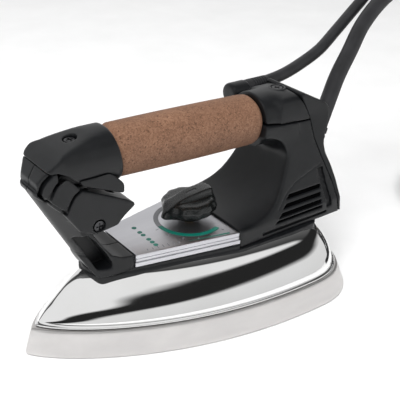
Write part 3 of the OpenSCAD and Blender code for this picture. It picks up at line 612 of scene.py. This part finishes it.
def drill(obj, spots, radius, depth):
    """Steam holes with a small countersink in the underside."""
    bits = bmesh.new()
    for x, y in spots:
        for foot, length, middle in ((radius * 1.5, 0.8, 0.3), (radius, depth, depth / 2 - 1)):
            bmesh.ops.create_cone(bits, cap_ends=True, segments=20, radius1=foot * MM, radius2=radius * MM,
                                  depth=length * MM, matrix=Matrix.Translation(Vector((x, y, middle)) * MM))
    mesh = bpy.data.meshes.new("drill_bits")
    bits.to_mesh(mesh)
    bits.free()
    cutter = place_in_scene("drill_bits", mesh)
    trim = obj.modifiers.new("holes", "BOOLEAN")
    trim.operation, trim.solver, trim.object, trim.use_self = "DIFFERENCE", "EXACT", cutter, True
    carved = evaluated_mesh(obj)
    obj.modifiers.clear()
    obj.data = carved
    soften_shading(carved, 40)
    bpy.data.objects.remove(cutter)


def make_shell():
    """The mirror cover: a rolled foot, convex sides and a nearly flat top, one smooth skin."""
    # (share of the rise, nose inset, heel inset, side inset)
    layers = [(0.0, 8.6, 9, 0), (0.11, 9.3, 9, 0.3), (0.22, 11.5, 9.5, 1.3), (0.34, 14.5, 10.2, 3.2),
              (0.47, 18.5, 11.5, 6.2), (0.62, 23, 13.5, 10.4), (0.77, 28, 16, 15.2), (0.88, 33, 19.5, 20),
              (0.95, 38, 24, 26), (0.99, 44, 30, 33), (1.0, 54, 40, 42)]
    curve = smooth_path([Vector(layer) for layer in layers], 5)
    foot = [(0.3, -1.0), (0.75, -1.5), (1.25, -1.5), (1.6, -1.0), (1.8, -0.35)]
    rings = [plan_ring(SOLE_H + rise, SHELL_NOSE + inset, SHELL_HEEL - inset, SHELL_HALF - inset)
             for rise, inset in foot]
    rings += [plan_ring(SOLE_H + share * SHELL_RISE, NOSE + nose, HEEL - heel, SHELL_HALF - side)
              for share, nose, heel, side in curve if share * SHELL_RISE > 2.2]
    shell = loft("mirror_shell", rings, "mirror_shell", 60, caps=False)
    around = len(rings[0])
    work = bmesh.new()
    work.from_mesh(shell.data)
    work.verts.ensure_lookup_table()
    work.faces.new(work.verts[-around:])
    bmesh.ops.recalc_face_normals(work, faces=work.faces)
    work.to_mesh(shell.data)
    work.free()
    soften_shading(shell.data, 60)
    wall = shell.modifiers.new("wall", "SOLIDIFY")
    wall.thickness, wall.offset = SHELL_WALL * MM, -1
    piece(shell, "mirror_shell", "shell_cover")


# ---- control plate, dial and base
PLATE_TOP, PLATE_BOTTOM, PLATE_END, PLATE_FRONT = 53.7, 46.1, 19.0, -46.3
DIAL_X, DIAL_R, DIAL_BAND = 4.0, 21.8, 3.0
DIAL_NUMBERS, NUMBER_R, NUMBER_SIZE = 6, 24.3, 3.0
DOT_ROWS, DOT_PITCH, DOT_X = (8.6, 2.4, -7.2), 3.7, -30.5
INK_LOW, INK_HIGH = PLATE_TOP - 0.05, PLATE_TOP + 0.12


def plate_ring(z, grow):
    outline = rounded(mirrored([(PLATE_FRONT - grow, -17.9 - grow), (PLATE_END + 3, -32 - grow)]), 0.8, 3)
    return [(x, y, z) for x, y in outline]


def make_plate():
    # (height, growth): a lower step, a shadow line and a rounded upper edge
    profile = [(PLATE_BOTTOM, 0.5), (PLATE_BOTTOM + 0.2, 0.7), (48.6, 0.7), (48.9, 0.45), (48.95, 0.0),
               (50.7, 0.0), (50.8, -0.3), (51.1, -0.3), (51.2, 0.0), (53.2, 0.0), (53.55, -0.15),
               (PLATE_TOP, -0.5)]
    plate = loft("control_plate_body", [plate_ring(z, grow) for z, grow in profile], "plate_metal", 25)
    piece(plate, "plate_metal", "control_plate")


def arc_band(name, start, end, look):
    """A stretch of the dial's ring, in degrees, 0.25 mm high with bevelled edges."""
    inner, outer = DIAL_R - DIAL_BAND, DIAL_R
    section = [(inner, -0.1), (outer, -0.1), (outer, 0.175), (outer - 0.12, 0.25), (inner + 0.12, 0.25),
               (inner, 0.175)]
    steps = round((end - start) / 3)
    angles = [math.radians(start + (end - start) * i / steps) for i in range(steps + 1)]
    return loft(name, [[(DIAL_X + r * math.cos(a), r * math.sin(a), PLATE_TOP + h) for r, h in section]
                       for a in angles], look, 30)


def printed(name, text, size, place, turn, look, height=0.12):
    """A printed number or mark, as thin raised ink."""
    data = bpy.data.curves.new(name, "FONT")
    data.body = text
    data.size = size * MM
    data.extrude = height / 2 * MM
    data.align_x, data.align_y = "CENTER", "CENTER"
    label = place_in_scene(name, data)
    label.location = Vector(place) * MM
    label.rotation_euler.z = math.radians(turn)
    mesh = evaluated_mesh(label)
    mesh.transform(label.matrix_world)
    bpy.data.objects.remove(label)
    mesh.materials.clear()
    mesh.materials.append(materials[look])
    return place_in_scene(name, mesh)


def make_dial():
    piece(arc_band("dial_ring_green", 176, 293, "dial_paint"), "dial_paint", "dial_ring")
    piece(arc_band("dial_ring_grey", 70, 175, "dial_grey"), "dial_paint")
    for i in range(DIAL_NUMBERS):
        angle = 182 + 22 * i
        a = math.radians(angle)
        place = (DIAL_X + NUMBER_R * math.cos(a), NUMBER_R * math.sin(a), PLATE_TOP + 0.05)
        number = printed(f"dial_number_{i + 1}", str(i + 1), NUMBER_SIZE, place, angle + 90, "dial_grey")
        piece(number, "dial_paint")
    # heat marks: groups of one, two and three dots ahead of the dial
    dot_profile = [(0.7, -0.05), (1.5, -0.05), (1.5, 0.08), (1.3, 0.12)]
    for row, y in enumerate(DOT_ROWS):
        for dot in range(row + 1):
            place = (DOT_X, y - DOT_PITCH * dot, PLATE_TOP)
            piece(spin(f"heat_dot_{row + 1}_{dot + 1}", dot_profile, "dial_paint", 32, place), "dial_paint")
    # a rising wedge along the near edge, with ticks beside it
    wedge = [(-12.0, -21.9), (14.0, -27.4), (14.0, -28.6)]
    piece(slab_loft("steam_wedge", wedge, "dial_paint", INK_LOW, INK_HIGH), "dial_paint")
    for i in range(7):
        x, y, reach = -38 + 3.3 * i, -17.2 - 0.69 * i, 1.6 + 0.25 * i
        tick = [(x, y), (x + 0.5, y - 0.1), (x + 0.9, y + reach), (x + 0.4, y + reach + 0.1)]
        piece(slab_loft(f"steam_tick_{i + 1}", tick, "dial_grey", INK_LOW, PLATE_TOP + 0.1), "dial_paint")


BASE_PLAN = mirrored([(-72, 0), (-71, -5), (-67, -12.5), (-46.5, -19.2), (PLATE_END, -34.6), (60, -36.6),
                      (80, -35.5), (86, -30), (90, -18), (91, 0)])


def make_base():
    block = Block((-76, -40, 36), (95, 40, 54), 0.6)
    foot = block.top(rounded(BASE_PLAN, 3))
    rim = meet(foot, slab(block.z, 38.2, 5.2), 0.8)
    core = meet(foot + 1.2, both(slab(block.z, 43.6, 2.4), block.x - PLATE_END), 0.8)
    under_plate = block.top(mirrored([(-44, -15.2), (16, -27)]))
    under_plate = meet(under_plate, slab(block.z, 48.2, 3.9), 0.6)
    base = join(join(rim, core, 0.6), under_plate, 0.4)
    block.mould("insulating_base_body", base, "black_plastic", "insulating_base")


# ---- thermostat knob
KNOB_LOW = PLATE_TOP + 1
KNOB_FLUTES, FLUTE_DEPTH = 12, 0.45


def make_knob():
    """A fluted, flared skirt with a pointed grip bar across it."""
    block = Block((DIAL_X - 22, -19, KNOB_LOW - 1), (DIAL_X + 20, 19, 76), 0.3)
    dx, dy, height = block.x - DIAL_X, block.y, block.z - KNOB_LOW
    flutes = FLUTE_DEPTH * np.cos(KNOB_FLUTES * np.arctan2(dy, dx))
    flare = np.interp(height, [0, 1.2, 2.6, 5, 7.5, 10.5, 13, 15.5],
                      [7.6, 7.6, 10, 14, 16.4, 16.9, 15.6, 12.5])
    fluted = np.interp(height, [2, 6, 12, 15], [0, 1, 1, 0.2])
    skirt = (block.upright(DIAL_X) - flare + flutes * fluted) * 0.8
    skirt = meet(skirt, slab(height, 7, 7), 1.5)
    # the grip's side outline as (x from the spindle, height), and its plan
    bar_side = [(-20.5, 4.4), (-19.6, 8.4), (-12, 14.6), (-2, 17.6), (8, 18.5), (16.5, 18.2), (17.2, 7),
                (8, 4), (-8, 4)]
    bar_plan = mirrored([(-21, -0.6), (-14, -3.8), (0, -6.2), (15, -5.8), (17, 0)])
    side = block.side(rounded([(DIAL_X + x, KNOB_LOW + z) for x, z in bar_side], 3))
    plan = block.top(rounded([(DIAL_X + x, y) for x, y in bar_plan], 2))
    bar = meet(side, plan + (height - 11) * 0.12, 1.3)
    slot = both(slab(dy, 0, 0.6), slab(dx, -3, 8), 17.3 - height)
    knob = cut(join(skirt, bar, 2.6), slot, 0.3)
    block.mould("knob_body_shell", knob, "knob_plastic", "knob", body="knob_body")
    line = [(-11, 14.7), (-6, 16.2), (0, 17.6), (4.5, 18.0)]
    corners = ((-0.5, -1.6), (0.5, -1.6), (0.5, 0), (-0.5, 0))
    rings = [[(DIAL_X + x, y, KNOB_LOW + h + drop) for y, drop in corners] for x, h in line]
    pointer = loft("knob_pointer_line", rings, "pointer_grey", 20)
    piece(pointer, "white_plastic", "knob_pointer", body="knob_body")


# ---- grip
HANDLE_Z, HANDLE_TILT = 112.2, 2.0
HANDLE_SLOPE = math.tan(math.radians(HANDLE_TILT))
HANDLE_AXIS = (math.cos(math.radians(HANDLE_TILT)), 0, -math.sin(math.radians(HANDLE_TILT)))
CORK_FRONT, CORK_REAR = -67.6, 48.0
TUBE_R, SPIGOT_R, SPIGOT_LENGTH = 6.2, 13.2, 15.5


def on_axis(x):
    return (x, 0, HANDLE_Z - x * HANDLE_SLOPE)


def make_cork():
    """A slightly barrelled grip with an eased rear end, bored for the tube that carries it."""
    length = (CORK_REAR - CORK_FRONT) / math.cos(math.radians(HANDLE_TILT))
    # the front end is turned down to sit in the cap
    profile = [(TUBE_R, 0), (12.6, 0), (SPIGOT_R, 0.6), (SPIGOT_R, SPIGOT_LENGTH)]
    for i in range(41):
        share = i / 40
        radius = 15.0 + 0.7 * share + 0.5 * math.sin(math.pi * share)
        ease = 2.6 * (max(0.0, share - 0.96) / 0.04) ** 2.2
        if length * share > SPIGOT_LENGTH:
            profile.append((radius - ease, length * share))
    profile += [(12.2, length + 0.05), (TUBE_R, length)]
    cork = spin("cork_grip_body", profile, "cork", 128, on_axis(CORK_FRONT), 90 + HANDLE_TILT, 50)
    piece(cork, "cork", "cork_grip")


# ---- front cap, post and trigger
SLEEVE_R = 16.3
WELL_R = 3.9
CAP_SCREW_X = -76
POST_SCREW = (-69, 79.6)
NOSE_PLAN = mirrored([(-104.5, -4), (-102.5, -8), (-95, -15.5), (-91, -16.2), (-80, -16.6), (-66, -16.8),
                      (-46.4, -18.1)])


def make_front_cap():
    """A sleeve round the cork that folds down into a hood over the post."""
    block = Block((-106, -19, 94), (-48, 19, 134), 0.42)
    outline = rounded([(-97, 117), (-95, 119.4), (-92, 122), (-87.6, 124.1), (-82, 125.7), (-75, 127.3),
                       (-67, 129.4), (-61, 130.4), (-55.4, 130.7), (-50.8, 97), (-50.6, 90), (-97, 90)], 2.2)
    fuller = 2.2 * np.clip((-87 - block.x) / 6, 0, 1)
    hood = meet(block.side(outline), block.top(NOSE_PLAN), 1.2)
    cap = meet(hood, block.grip_rod(SLEEVE_R) - fuller, 1.6)
    below = block.side([(-120, 60), (-120, 117.2), (-98, 117.2), (-91.5, 116.8), (-85.6, 113.4), (-77, 104.6),
                        (-77, 60)])
    cap = cut(cap, below, 0.3)
    bore = both(block.grip_rod(SPIGOT_R + 0.4), (-68 - block.x) * 0.97)
    cap = cut(cap, bore, 0.3)
    # room for the trigger's fork and the wires
    room = block.side([(-97, 90), (-96, 114.5), (-92.6, 117.6), (-88, 120.4), (-72, 120), (-66, 104),
                       (-66, 90)])
    cap = cut(cap, both(room, slab(block.y, 0, 12.2)), 0.4)
    well = both(block.upright(CAP_SCREW_X) - WELL_R, 124.7 - block.z)
    block.mould("front_cap_body", cut(cap, well, 0.5), "black_plastic", "front_cap")


def make_cap_screw():
    """A pan-head cross screw at the bottom of its well in the front cap."""
    block = Block((CAP_SCREW_X - 4.5, -4.5, 118), (CAP_SCREW_X + 4.5, 4.5, 128), 0.16)
    dx, across = block.x - CAP_SCREW_X, block.upright(CAP_SCREW_X)
    head = meet(across - 3.3, slab(block.z, 125.5, 0.8), 0.8)
    shank = both(across - 1.5, slab(block.z, 122.2, 3))
    cross_a = both(slab(dx, 0, 0.5), slab(block.y, 0, 2.1))
    cross_b = both(slab(block.y, 0, 0.5), slab(dx, 0, 2.1))
    screw = cut(np.minimum(head, shank), both(np.minimum(cross_a, cross_b), 125.4 - block.z), 0.15)
    block.mould("front_cap_screw_head", screw, "steel", "front_cap_screw", look="dark_steel")


POST_OUTLINE = [(-101.8, 102.5), (-102.6, 105.6), (-100.6, 110.5), (-97, 116.9), (-91.8, 116.5),
                (-86.2, 112.6), (-78.4, 103.2), (-75, 102), (-50.3, 90.4), (-46.3, 87.4), (-47.2, 86),
                (-51.8, 82.6), (-55, 79.8), (-57.4, 76.8), (-71.8, 74.4), (-65, 63.4), (-60, 57),
                (-54.7, 54.4), (-46.5, 53.6), (-46.5, 45), (-68.2, 43), (-73.4, 51.4), (-90, 81)]
GILLS = [[(-98.6, 116.6), (-101.4, 112.5), (-101.6, 106.4)],
         [(-94.4, 117), (-96.6, 114), (-98.6, 110), (-100, 104.6)],
         [(-87.5, 114), (-91.5, 111.4), (-94.2, 107.6), (-96.8, 100.8)],
         [(-79, 104), (-83, 101.6), (-85.4, 98.2), (-88, 93)]]
PANEL_EDGE = [(-100, 104.2), (-96.8, 100.8), (-88, 92.6)]
LOWER_WEB = [(-110, 102), (-101, 102), (-96.8, 99.2), (-88.6, 91.0), (-80.6, 79.3), (-71.5, 74.6), (-57, 75),
             (-57, 57.5), (-110, 57.5)]
FOOT_PLAN = mirrored([(-78, -3), (-72, -10.5), (-62, -15.4), (-46, -18.2)])
SCOOP = [(-81.6, 72.6), (-76.4, 75), (-70.5, 69), (-63.4, 58), (-60.5, 52), (-60.5, 48.4), (-68.4, 48.4),
         (-74.2, 60.6)]
SWITCH_ROOM = [(-84, 82), (-88, 86), (-94.5, 99), (-96.5, 108), (-95.5, 125), (-82, 125), (-80, 94.6),
               (-54.8, 94.6), (-54.8, 82.4)]
PLUNGER_X, SPRING_X = -60, -53.5


def post_field(block):
    side = block.side_reach
    post = meet(block.side(rounded(POST_OUTLINE, 1.4)), block.top(rounded(NOSE_PLAN, 1.5)), 1.4)
    post = cut(post, both(block.grip_rod(SLEEVE_R + 0.15), -92 - block.x), 0.3)
    # overlapping plates: each is set a little further in than the one behind it
    for line in GILLS:
        post = groove(post, block.line(smooth_points(line)), 1.7, 2.0)
    post = groove(post, block.line(PANEL_EDGE), 1.6, 1.6)
    # the lower web is narrower than the switch housing above it and sharpens towards the slanted front edge
    behind = -block.plane((-90, 0, 81), (-0.873, 0, -0.488))
    web_half = np.clip(3.5 + 1.5 * behind, 0, 14.8)
    post = cut(post, both(block.side(LOWER_WEB), (web_half - side) * 0.6), 1.5)
    post = meet(post, np.where(block.z < 60, block.top(rounded(FOOT_PLAN, 4)), -9), 0.6)
    # a deep scoop between the slanted front strip and the rib that flares into the block ahead of the plate
    post = cut(post, both(block.side(rounded(SCOOP, 2.0)), 3.5 - side), 1.2)
    post = cut(post, both(block.side(SWITCH_ROOM), side - 9), 0.4)
    fork = block.side([(-93.5, 102.5), (-93.5, 130), (-79, 130), (-79, 102.5)])
    post = cut(post, both(fork, side - 11.9), 0.4)
    for x, radius in ((PLUNGER_X, 2.0), (SPRING_X, 2.9)):
        post = cut(post, both(block.upright(x) - radius, 80.5 - block.z), 0.3)
    return cut(post, both(block.crosswise(*POST_SCREW) - WELL_R, 13.4 - side), 0.4)


def make_post():
    block = Block((-109, -20, 40), (-44, 20, 123), 0.42)
    post = post_field(block)
    for name, side, node in (("post_near_half", 1, "post_left"), ("post_far_half", -1, "post_right")):
        block.mould(name, meet(post, side * block.y + 0.06, 0.3), "black_plastic", node)


TRIGGER_FORK = [(-90.5, 110.5), (-88, 113), (-76, 111.5), (-70, 108), (-70, 103), (-81, 105.8), (-85, 105),
                (-90.5, 105)]
TRIGGER_PAD = [(-84.2, 113.6), (-77.3, 105.2), (-75, 104.3), (-51.2, 94), (-50.6, 98.8), (-57.5, 106),
               (-62, 110.5), (-76, 114)]
FORK_REAR = -76
TRIGGER_PLAN = mirrored([(-86, -15.9), (-76, -16.2), (-53, -16.4), (-50, -12)])


def make_trigger():
    """A fork on the pivot pin that carries a broad pad hugging the sleeve from below."""
    block = Block((-93, -18, 90), (-47, 18, 116), 0.35)
    fork = meet(block.side(rounded(TRIGGER_FORK, 1.2)), block.side_reach - 11.2, 1.0)
    pad = meet(block.side(rounded(TRIGGER_PAD, 0.9)), block.top(rounded(TRIGGER_PLAN, 2.0)), 1.4)
    sleeve = block.grip_rod(SLEEVE_R + 0.6)
    yoke = join(cut(fork, both(sleeve, FORK_REAR - block.x), 0.6), cut(pad, sleeve, 0.4), 0.6)
    yoke = cut(yoke, both(block.grip_rod(8), block.x + 70), 0.4)
    yoke = cut(yoke, both(block.upright(SPRING_X) - 3.6, block.z - 97), 0.3)
    block.mould("trigger_body_shell", yoke, "black_plastic", "trigger", body="trigger_body")


# ---- rear housing, cover and cap
HOUSING_FRONT = [(PLATE_END, 55.2), (31, 55.4), (42, 58.3), (49.5, 63), (54.5, 69), (58.5, 76), (62.5, 85),
                 (63.5, 91), (61, 97), (56, 101.5), (48.2, 104.6)]
HOUSING_REAR = [(84.5, 108.3), (87.4, 95), (93.9, 79.6), (99.6, 65.6), (102.6, 51.3), (104.6, 43.4)]
COVER_BACK = [(106.6, 43.4), (104.9, 55), (103.6, 66), (100.8, 75), (96.8, 84), (95.6, 90), (97, 97),
              (101, 106), (102, 112), (98, 116.4), (77.5, 126.7)]
# half widths, and the heights that they are at
HALF_WIDTHS = [33, 33, 30.5, 28.2, 26.5, 23, 19.9, 17.3, 17.0]
WIDTH_HEIGHTS = [43.4, 54, 60, 66, 71.5, 84, 98, 111, 130]
# (front, rear, height) of each louvre, whose front end slants
VENTS = [(60.0, 88.7, 64.7), (56.4, 88.2, 59.8), (51.6, 87.8, 55.2)]
VENT_SLANT = 1.4
COLLAR_FRONT = 48.3
HOSE_PORT_Z, COVER_SCREW_Y, COVER_SCREW_Z = 76, 22, 55
CABLE_BOSS, CABLE_BORE = (22, 119.2), (23, 120)
REAR_SCREW_X = 70


def side_walls(block, inset=0.0):
    half = np.interp(block.z, WIDTH_HEIGHTS, HALF_WIDTHS).astype(np.float32)
    return (block.side_reach - half + inset) * 0.97


def front_sweep(block):
    """The housing's concave front."""
    return block.side([(PLATE_END, 40)] + smooth_points(HOUSING_FRONT) + [(48.2, 140), (120, 140), (120, 40)])


def slanted_slot(block, front, rear, height, half):
    """A slot from front to rear at a height. Its front end leans with the louvres."""
    lean = VENT_SLANT * (block.z - height)
    return both(front + lean - block.x, block.x - rear, slab(block.z, height, half))


def make_rear_housing():
    block = Block((PLATE_END - 2, -36, 41), (109, 36, 114), 0.55)
    rear = block.side([(0, 40), (0, 108.8), (84.2, 108.1)] + [(x - 0.25, z) for x, z in HOUSING_REAR[1:]])
    split = block.side([(0, 40), (0, 111.7), (45, 111.7), (60, 109.8), (84.5, 108.1), (120, 108.1),
                        (120, 40)])
    shape = meet(meet(front_sweep(block), side_walls(block), 2.2), rear, 0.6)
    collar = both(block.grip_rod(17.3), COLLAR_FRONT - block.x, block.x - 70)
    shape = meet(join(shape, collar, 7.0), split, 0.5)
    shape = meet(shape, 43.5 - block.z, 0.6)
    skin = shape
    inner = meet(meet(front_sweep(block) + 2.4, side_walls(block, 2.4), 1.0), block.side_reach - 20.5, 0.5)
    shape = cut(shape, meet(inner, rear + 0.5, 0.5), 0.4)
    louvre_painted_shade_sheet = 1e3
    for front, end, height in VENTS:
        louvre = slanted_slot(block, front, end, height, 1.4)
        shape = cut(shape, both(louvre, -skin - 9), 0.2)
        # a near-black sheet a little under the skin in each louvre: painted shade that darkens the slot
        louvre_painted_shade_sheet = np.minimum(louvre_painted_shade_sheet, both(louvre + 0.05, skin + 0.9, -skin - 3.5))
    # a shallow recess under the louvres, the upright strip behind them and the long low slot
    band = slanted_slot(block, 48.6, 88.2, 51.8, 1.0)
    strip = both(slab(block.x + 0.18 * (block.z - 60), 93, 2.3), slab(block.z, 63, 13.2))
    low_slot = both(37.6 - block.x, block.x - 92.8, slab(block.z, 46.9, 0.8))
    for mark, depth in ((band, 2.5), (strip, 2.2), (low_slot, 1.8)):
        shape = engrave(shape, mark, depth)
    # a bevel line from the louvres' top corner up to the cover
    shape = groove(shape, block.line([(51, 59), (60, 67.4), (68.5, 72.3), (90.5, 78.4)]), 0.7, 0.35)
    block.mould("louvre_painted_shade", louvre_painted_shade_sheet, "black_plastic", look="louvre_painted_shade_black")
    block.mould("rear_housing_body", shape, "black_plastic", "rear_housing")


def make_rear_cover():
    block = Block((72, -36, 41), (110, 36, 130), 0.5)
    outline = [(75.9, 124.6)] + [(x + 0.15, z) for x, z in HOUSING_REAR] + COVER_BACK
    walls = side_walls(block)
    sides = np.where(block.z > 108, np.minimum(walls, block.side_reach - 15.5), walls)
    cover = meet(block.side(rounded(outline, 1.6)), sides, 1.6)
    cover = cut(cover, both(block.lengthwise(0, HOSE_PORT_Z) - 7.2, 85 - block.x), 0.8)
    for y in (-COVER_SCREW_Y, COVER_SCREW_Y):
        cover = cut(cover, both(block.lengthwise(y, COVER_SCREW_Z) - 3.1, 103.4 - block.x), 0.4)
    # three shallow lines below the hose port
    for z in (52, 57, 62):
        cover = engrave(cover, both(slab(block.z, z, 0.5), slab(block.y, 0, 15)), 0.7)
    block.mould("rear_cover_body", cover, "black_plastic", "rear_cover")


def make_rear_cap():
    """The grip's rear cap: a collar that runs into square shoulders, and the cable's boss on its far side."""
    block = Block((43, -20, 104), (90, 34, 131), 0.42)
    outline = [(COLLAR_FRONT, 112.1), (60, 110.1), (84.4, 108.5), (76.4, 123.6), (74.6, 126.0), (70, 126.6),
               (COLLAR_FRONT, 128.2)]
    shoulders = meet(both(slab(block.y, 0, 16.6), 60 - block.x), block.z - 124.6, 7.0)
    cap = meet(block.side(rounded(outline, 1.2)), join(block.grip_rod(17.0), shoulders, 5.0), 1.2)
    boss = meet(block.lengthwise(*CABLE_BOSS) - 6.8, slab(block.x, 56.5, 7.2), 2.5)
    cap = join(cap, both(boss, 10 - block.y), 0.8)
    cap = cut(cap, both(block.lengthwise(*CABLE_BORE) - 5.1, 58 - block.x), 0.3)
    across = block.upright(REAR_SCREW_X)
    cap = join(cap, both(slab(across, 4.8, 0.7), slab(block.z, 126.0, 0.9)), 0.6)
    cap = cut(cap, both(across - WELL_R, 124.8 - block.z), 0.4)
    cap = cut(cap, both(block.grip_rod(6.1), block.x - 90), 0.3)
    block.mould("rear_top_cap_body", cap, "black_plastic", "rear_top_cap")


# ---- boots, connector, fitting and tie
BOOT_RIBS, RIB_PITCH = 6, 1.9
BOOT_RIB = [(0.55, 0), (0.55, 0.7), (0.1, 0.9), (0.15, 1.7)]
HOSE_BOOT_SIDES = 40


def make_cable_boot():
    profile = [(4.6, 0.0), (5.0, 0.6), (5.0, 10.5)]
    for i in range(BOOT_RIBS):
        low, radius = 11.0 + RIB_PITCH * i, 5.0 - 0.08 * i
        profile += [(radius - dip, low + rise) for dip, rise in BOOT_RIB]
    profile += [(4.3, 23.6), (4.1, 24.0)]
    boot = spin("cable_boot_body", profile, "cord_rubber", 48, (58, *CABLE_BORE), 90 - 2.6)
    piece(boot, "cord_rubber", "cable_boot")


def make_hose_boot():
    """A tapered sleeve that bends upwards with the hose, with a ring pressed in at every fourth step."""
    path = smooth_path([(94, 0, 76), (100, 0, 76.6), (105, 0, 80), (109, 0, 85.5), (112.5, 0.3, 92)], 8)
    across = Vector((0, 1, 0))
    rings = []
    for i, p in enumerate(path):
        share = i / (len(path) - 1)
        along = (path[min(i + 1, len(path) - 1)] - path[max(i - 1, 0)]).normalized()
        over = along.cross(across).normalized()
        radius = 8.4 - 2.1 * share
        if i % 4 == 3 and 0.2 < share < 0.9:
            radius -= 0.7
        if share < 0.12:
            radius = 7.0
        angles = [2 * math.pi * k / HOSE_BOOT_SIDES for k in range(HOSE_BOOT_SIDES)]
        rings.append([p + radius * (math.cos(a) * across + math.sin(a) * over) for a in angles])
    piece(loft("hose_boot_body", rings, "cord_rubber"), "cord_rubber", "hose_boot")


def turned(z_degrees, degrees, axis):
    return Matrix.Rotation(math.radians(z_degrees), 4, "Z") @ Matrix.Rotation(math.radians(degrees), 4, axis)


def grip_flutes(angle, radius, height):
    return 1 - (0.07 * abs(math.cos(6 * angle)) if 12 < height < 28 else 0)


def hexagon(angle, radius, height):
    """Six flats on the union nut, above its collar."""
    if height > 20.4 and radius > 12:
        return math.cos(math.pi / 6) / math.cos((angle + math.pi / 6) % (math.pi / 3) - math.pi / 6)
    return 1


def make_connector():
    profile = [(4.2, 0), (6.0, 0.3), (7.0, 2.2), (6.6, 2.6), (7.8, 4.4), (7.4, 4.8), (9.0, 7.2), (10.6, 8.2),
               (11.0, 9.0), (11.0, 30.5), (10.4, 32), (9.0, 32.2), (9.0, 39.2), (8.4, 40), (7.2, 40),
               (7.2, 36), (0.6, 36)]
    plug = spin("connector_body", profile, "cord_rubber", crease=35, wobble=grip_flutes)
    lay(plug, CABLE_TAIL[-1], turned(11, -90, "X"))
    piece(plug, "cord_rubber", "connector")


def make_hose_fitting():
    profile = [(6.0, 0), (7.0, 0.3), (7.2, 1.0), (7.2, 4), (6.9, 4.3), (6.9, 5), (7.2, 5.3), (7.2, 13),
               (8.6, 14), (9, 14.6), (9, 19.6), (8.6, 20.2), (11.6, 20.5), (12.5, 21.2), (12.5, 35.2),
               (11.6, 36), (8.6, 36), (8.4, 35), (8.4, 28), (0.8, 28)]
    nut = spin("hose_fitting_body", profile, "brass", crease=30, wobble=hexagon)
    lay(nut, HOSE_TAIL[-1], turned(-18, 90, "Y"))
    piece(nut, "brass", "hose_fitting")


def make_tie():
    """A webbing strap round both coils."""
    block = Block((COIL.x - 10, COIL.y - 84, -1), (COIL.x + 10, COIL.y - 24, 33), 0.45)
    inner, outer = COIL.y - 26.1, COIL.y - 80.6
    loop = block.end(rounded([(outer, 0.05), (inner, 0.05), (inner, 28.6), (outer, 28.6)], 9))
    strap = both(slab(loop, -0.5, 0.5), slab(block.x, COIL.x, 6))
    block.mould("coil_tie_strap", strap - 0.1, "tie_fabric", "coil_tie")


# ---- the CAD nodes that stay
BLACKENED = ("front_cap_screw", "post_screw", "rear_cap_screw", "rear_cover_screws")


def finish_cad_nodes():
    slots = {row["node"]: row["material_slot"] for row in frame["record"]["subparts"]}
    for name, obj in frame["nodes"].items():
        material = materials["dark_steel" if name in BLACKENED else slots.get(name, "black_plastic")]
        if not obj.material_slots:
            obj.data.materials.append(material)
        for spot in obj.material_slots:
            spot.material = material


materials = make_materials()
make_camera()
make_studio()
finish_cad_nodes()
make_cords()
for make in (make_sole, make_shell, make_plate, make_dial, make_base, make_knob, make_cork, make_front_cap,
             make_cap_screw, make_post, make_trigger, make_rear_housing, make_rear_cover, make_rear_cap,
             make_cable_boot, make_hose_boot, make_connector, make_hose_fitting, make_tie):
    make()
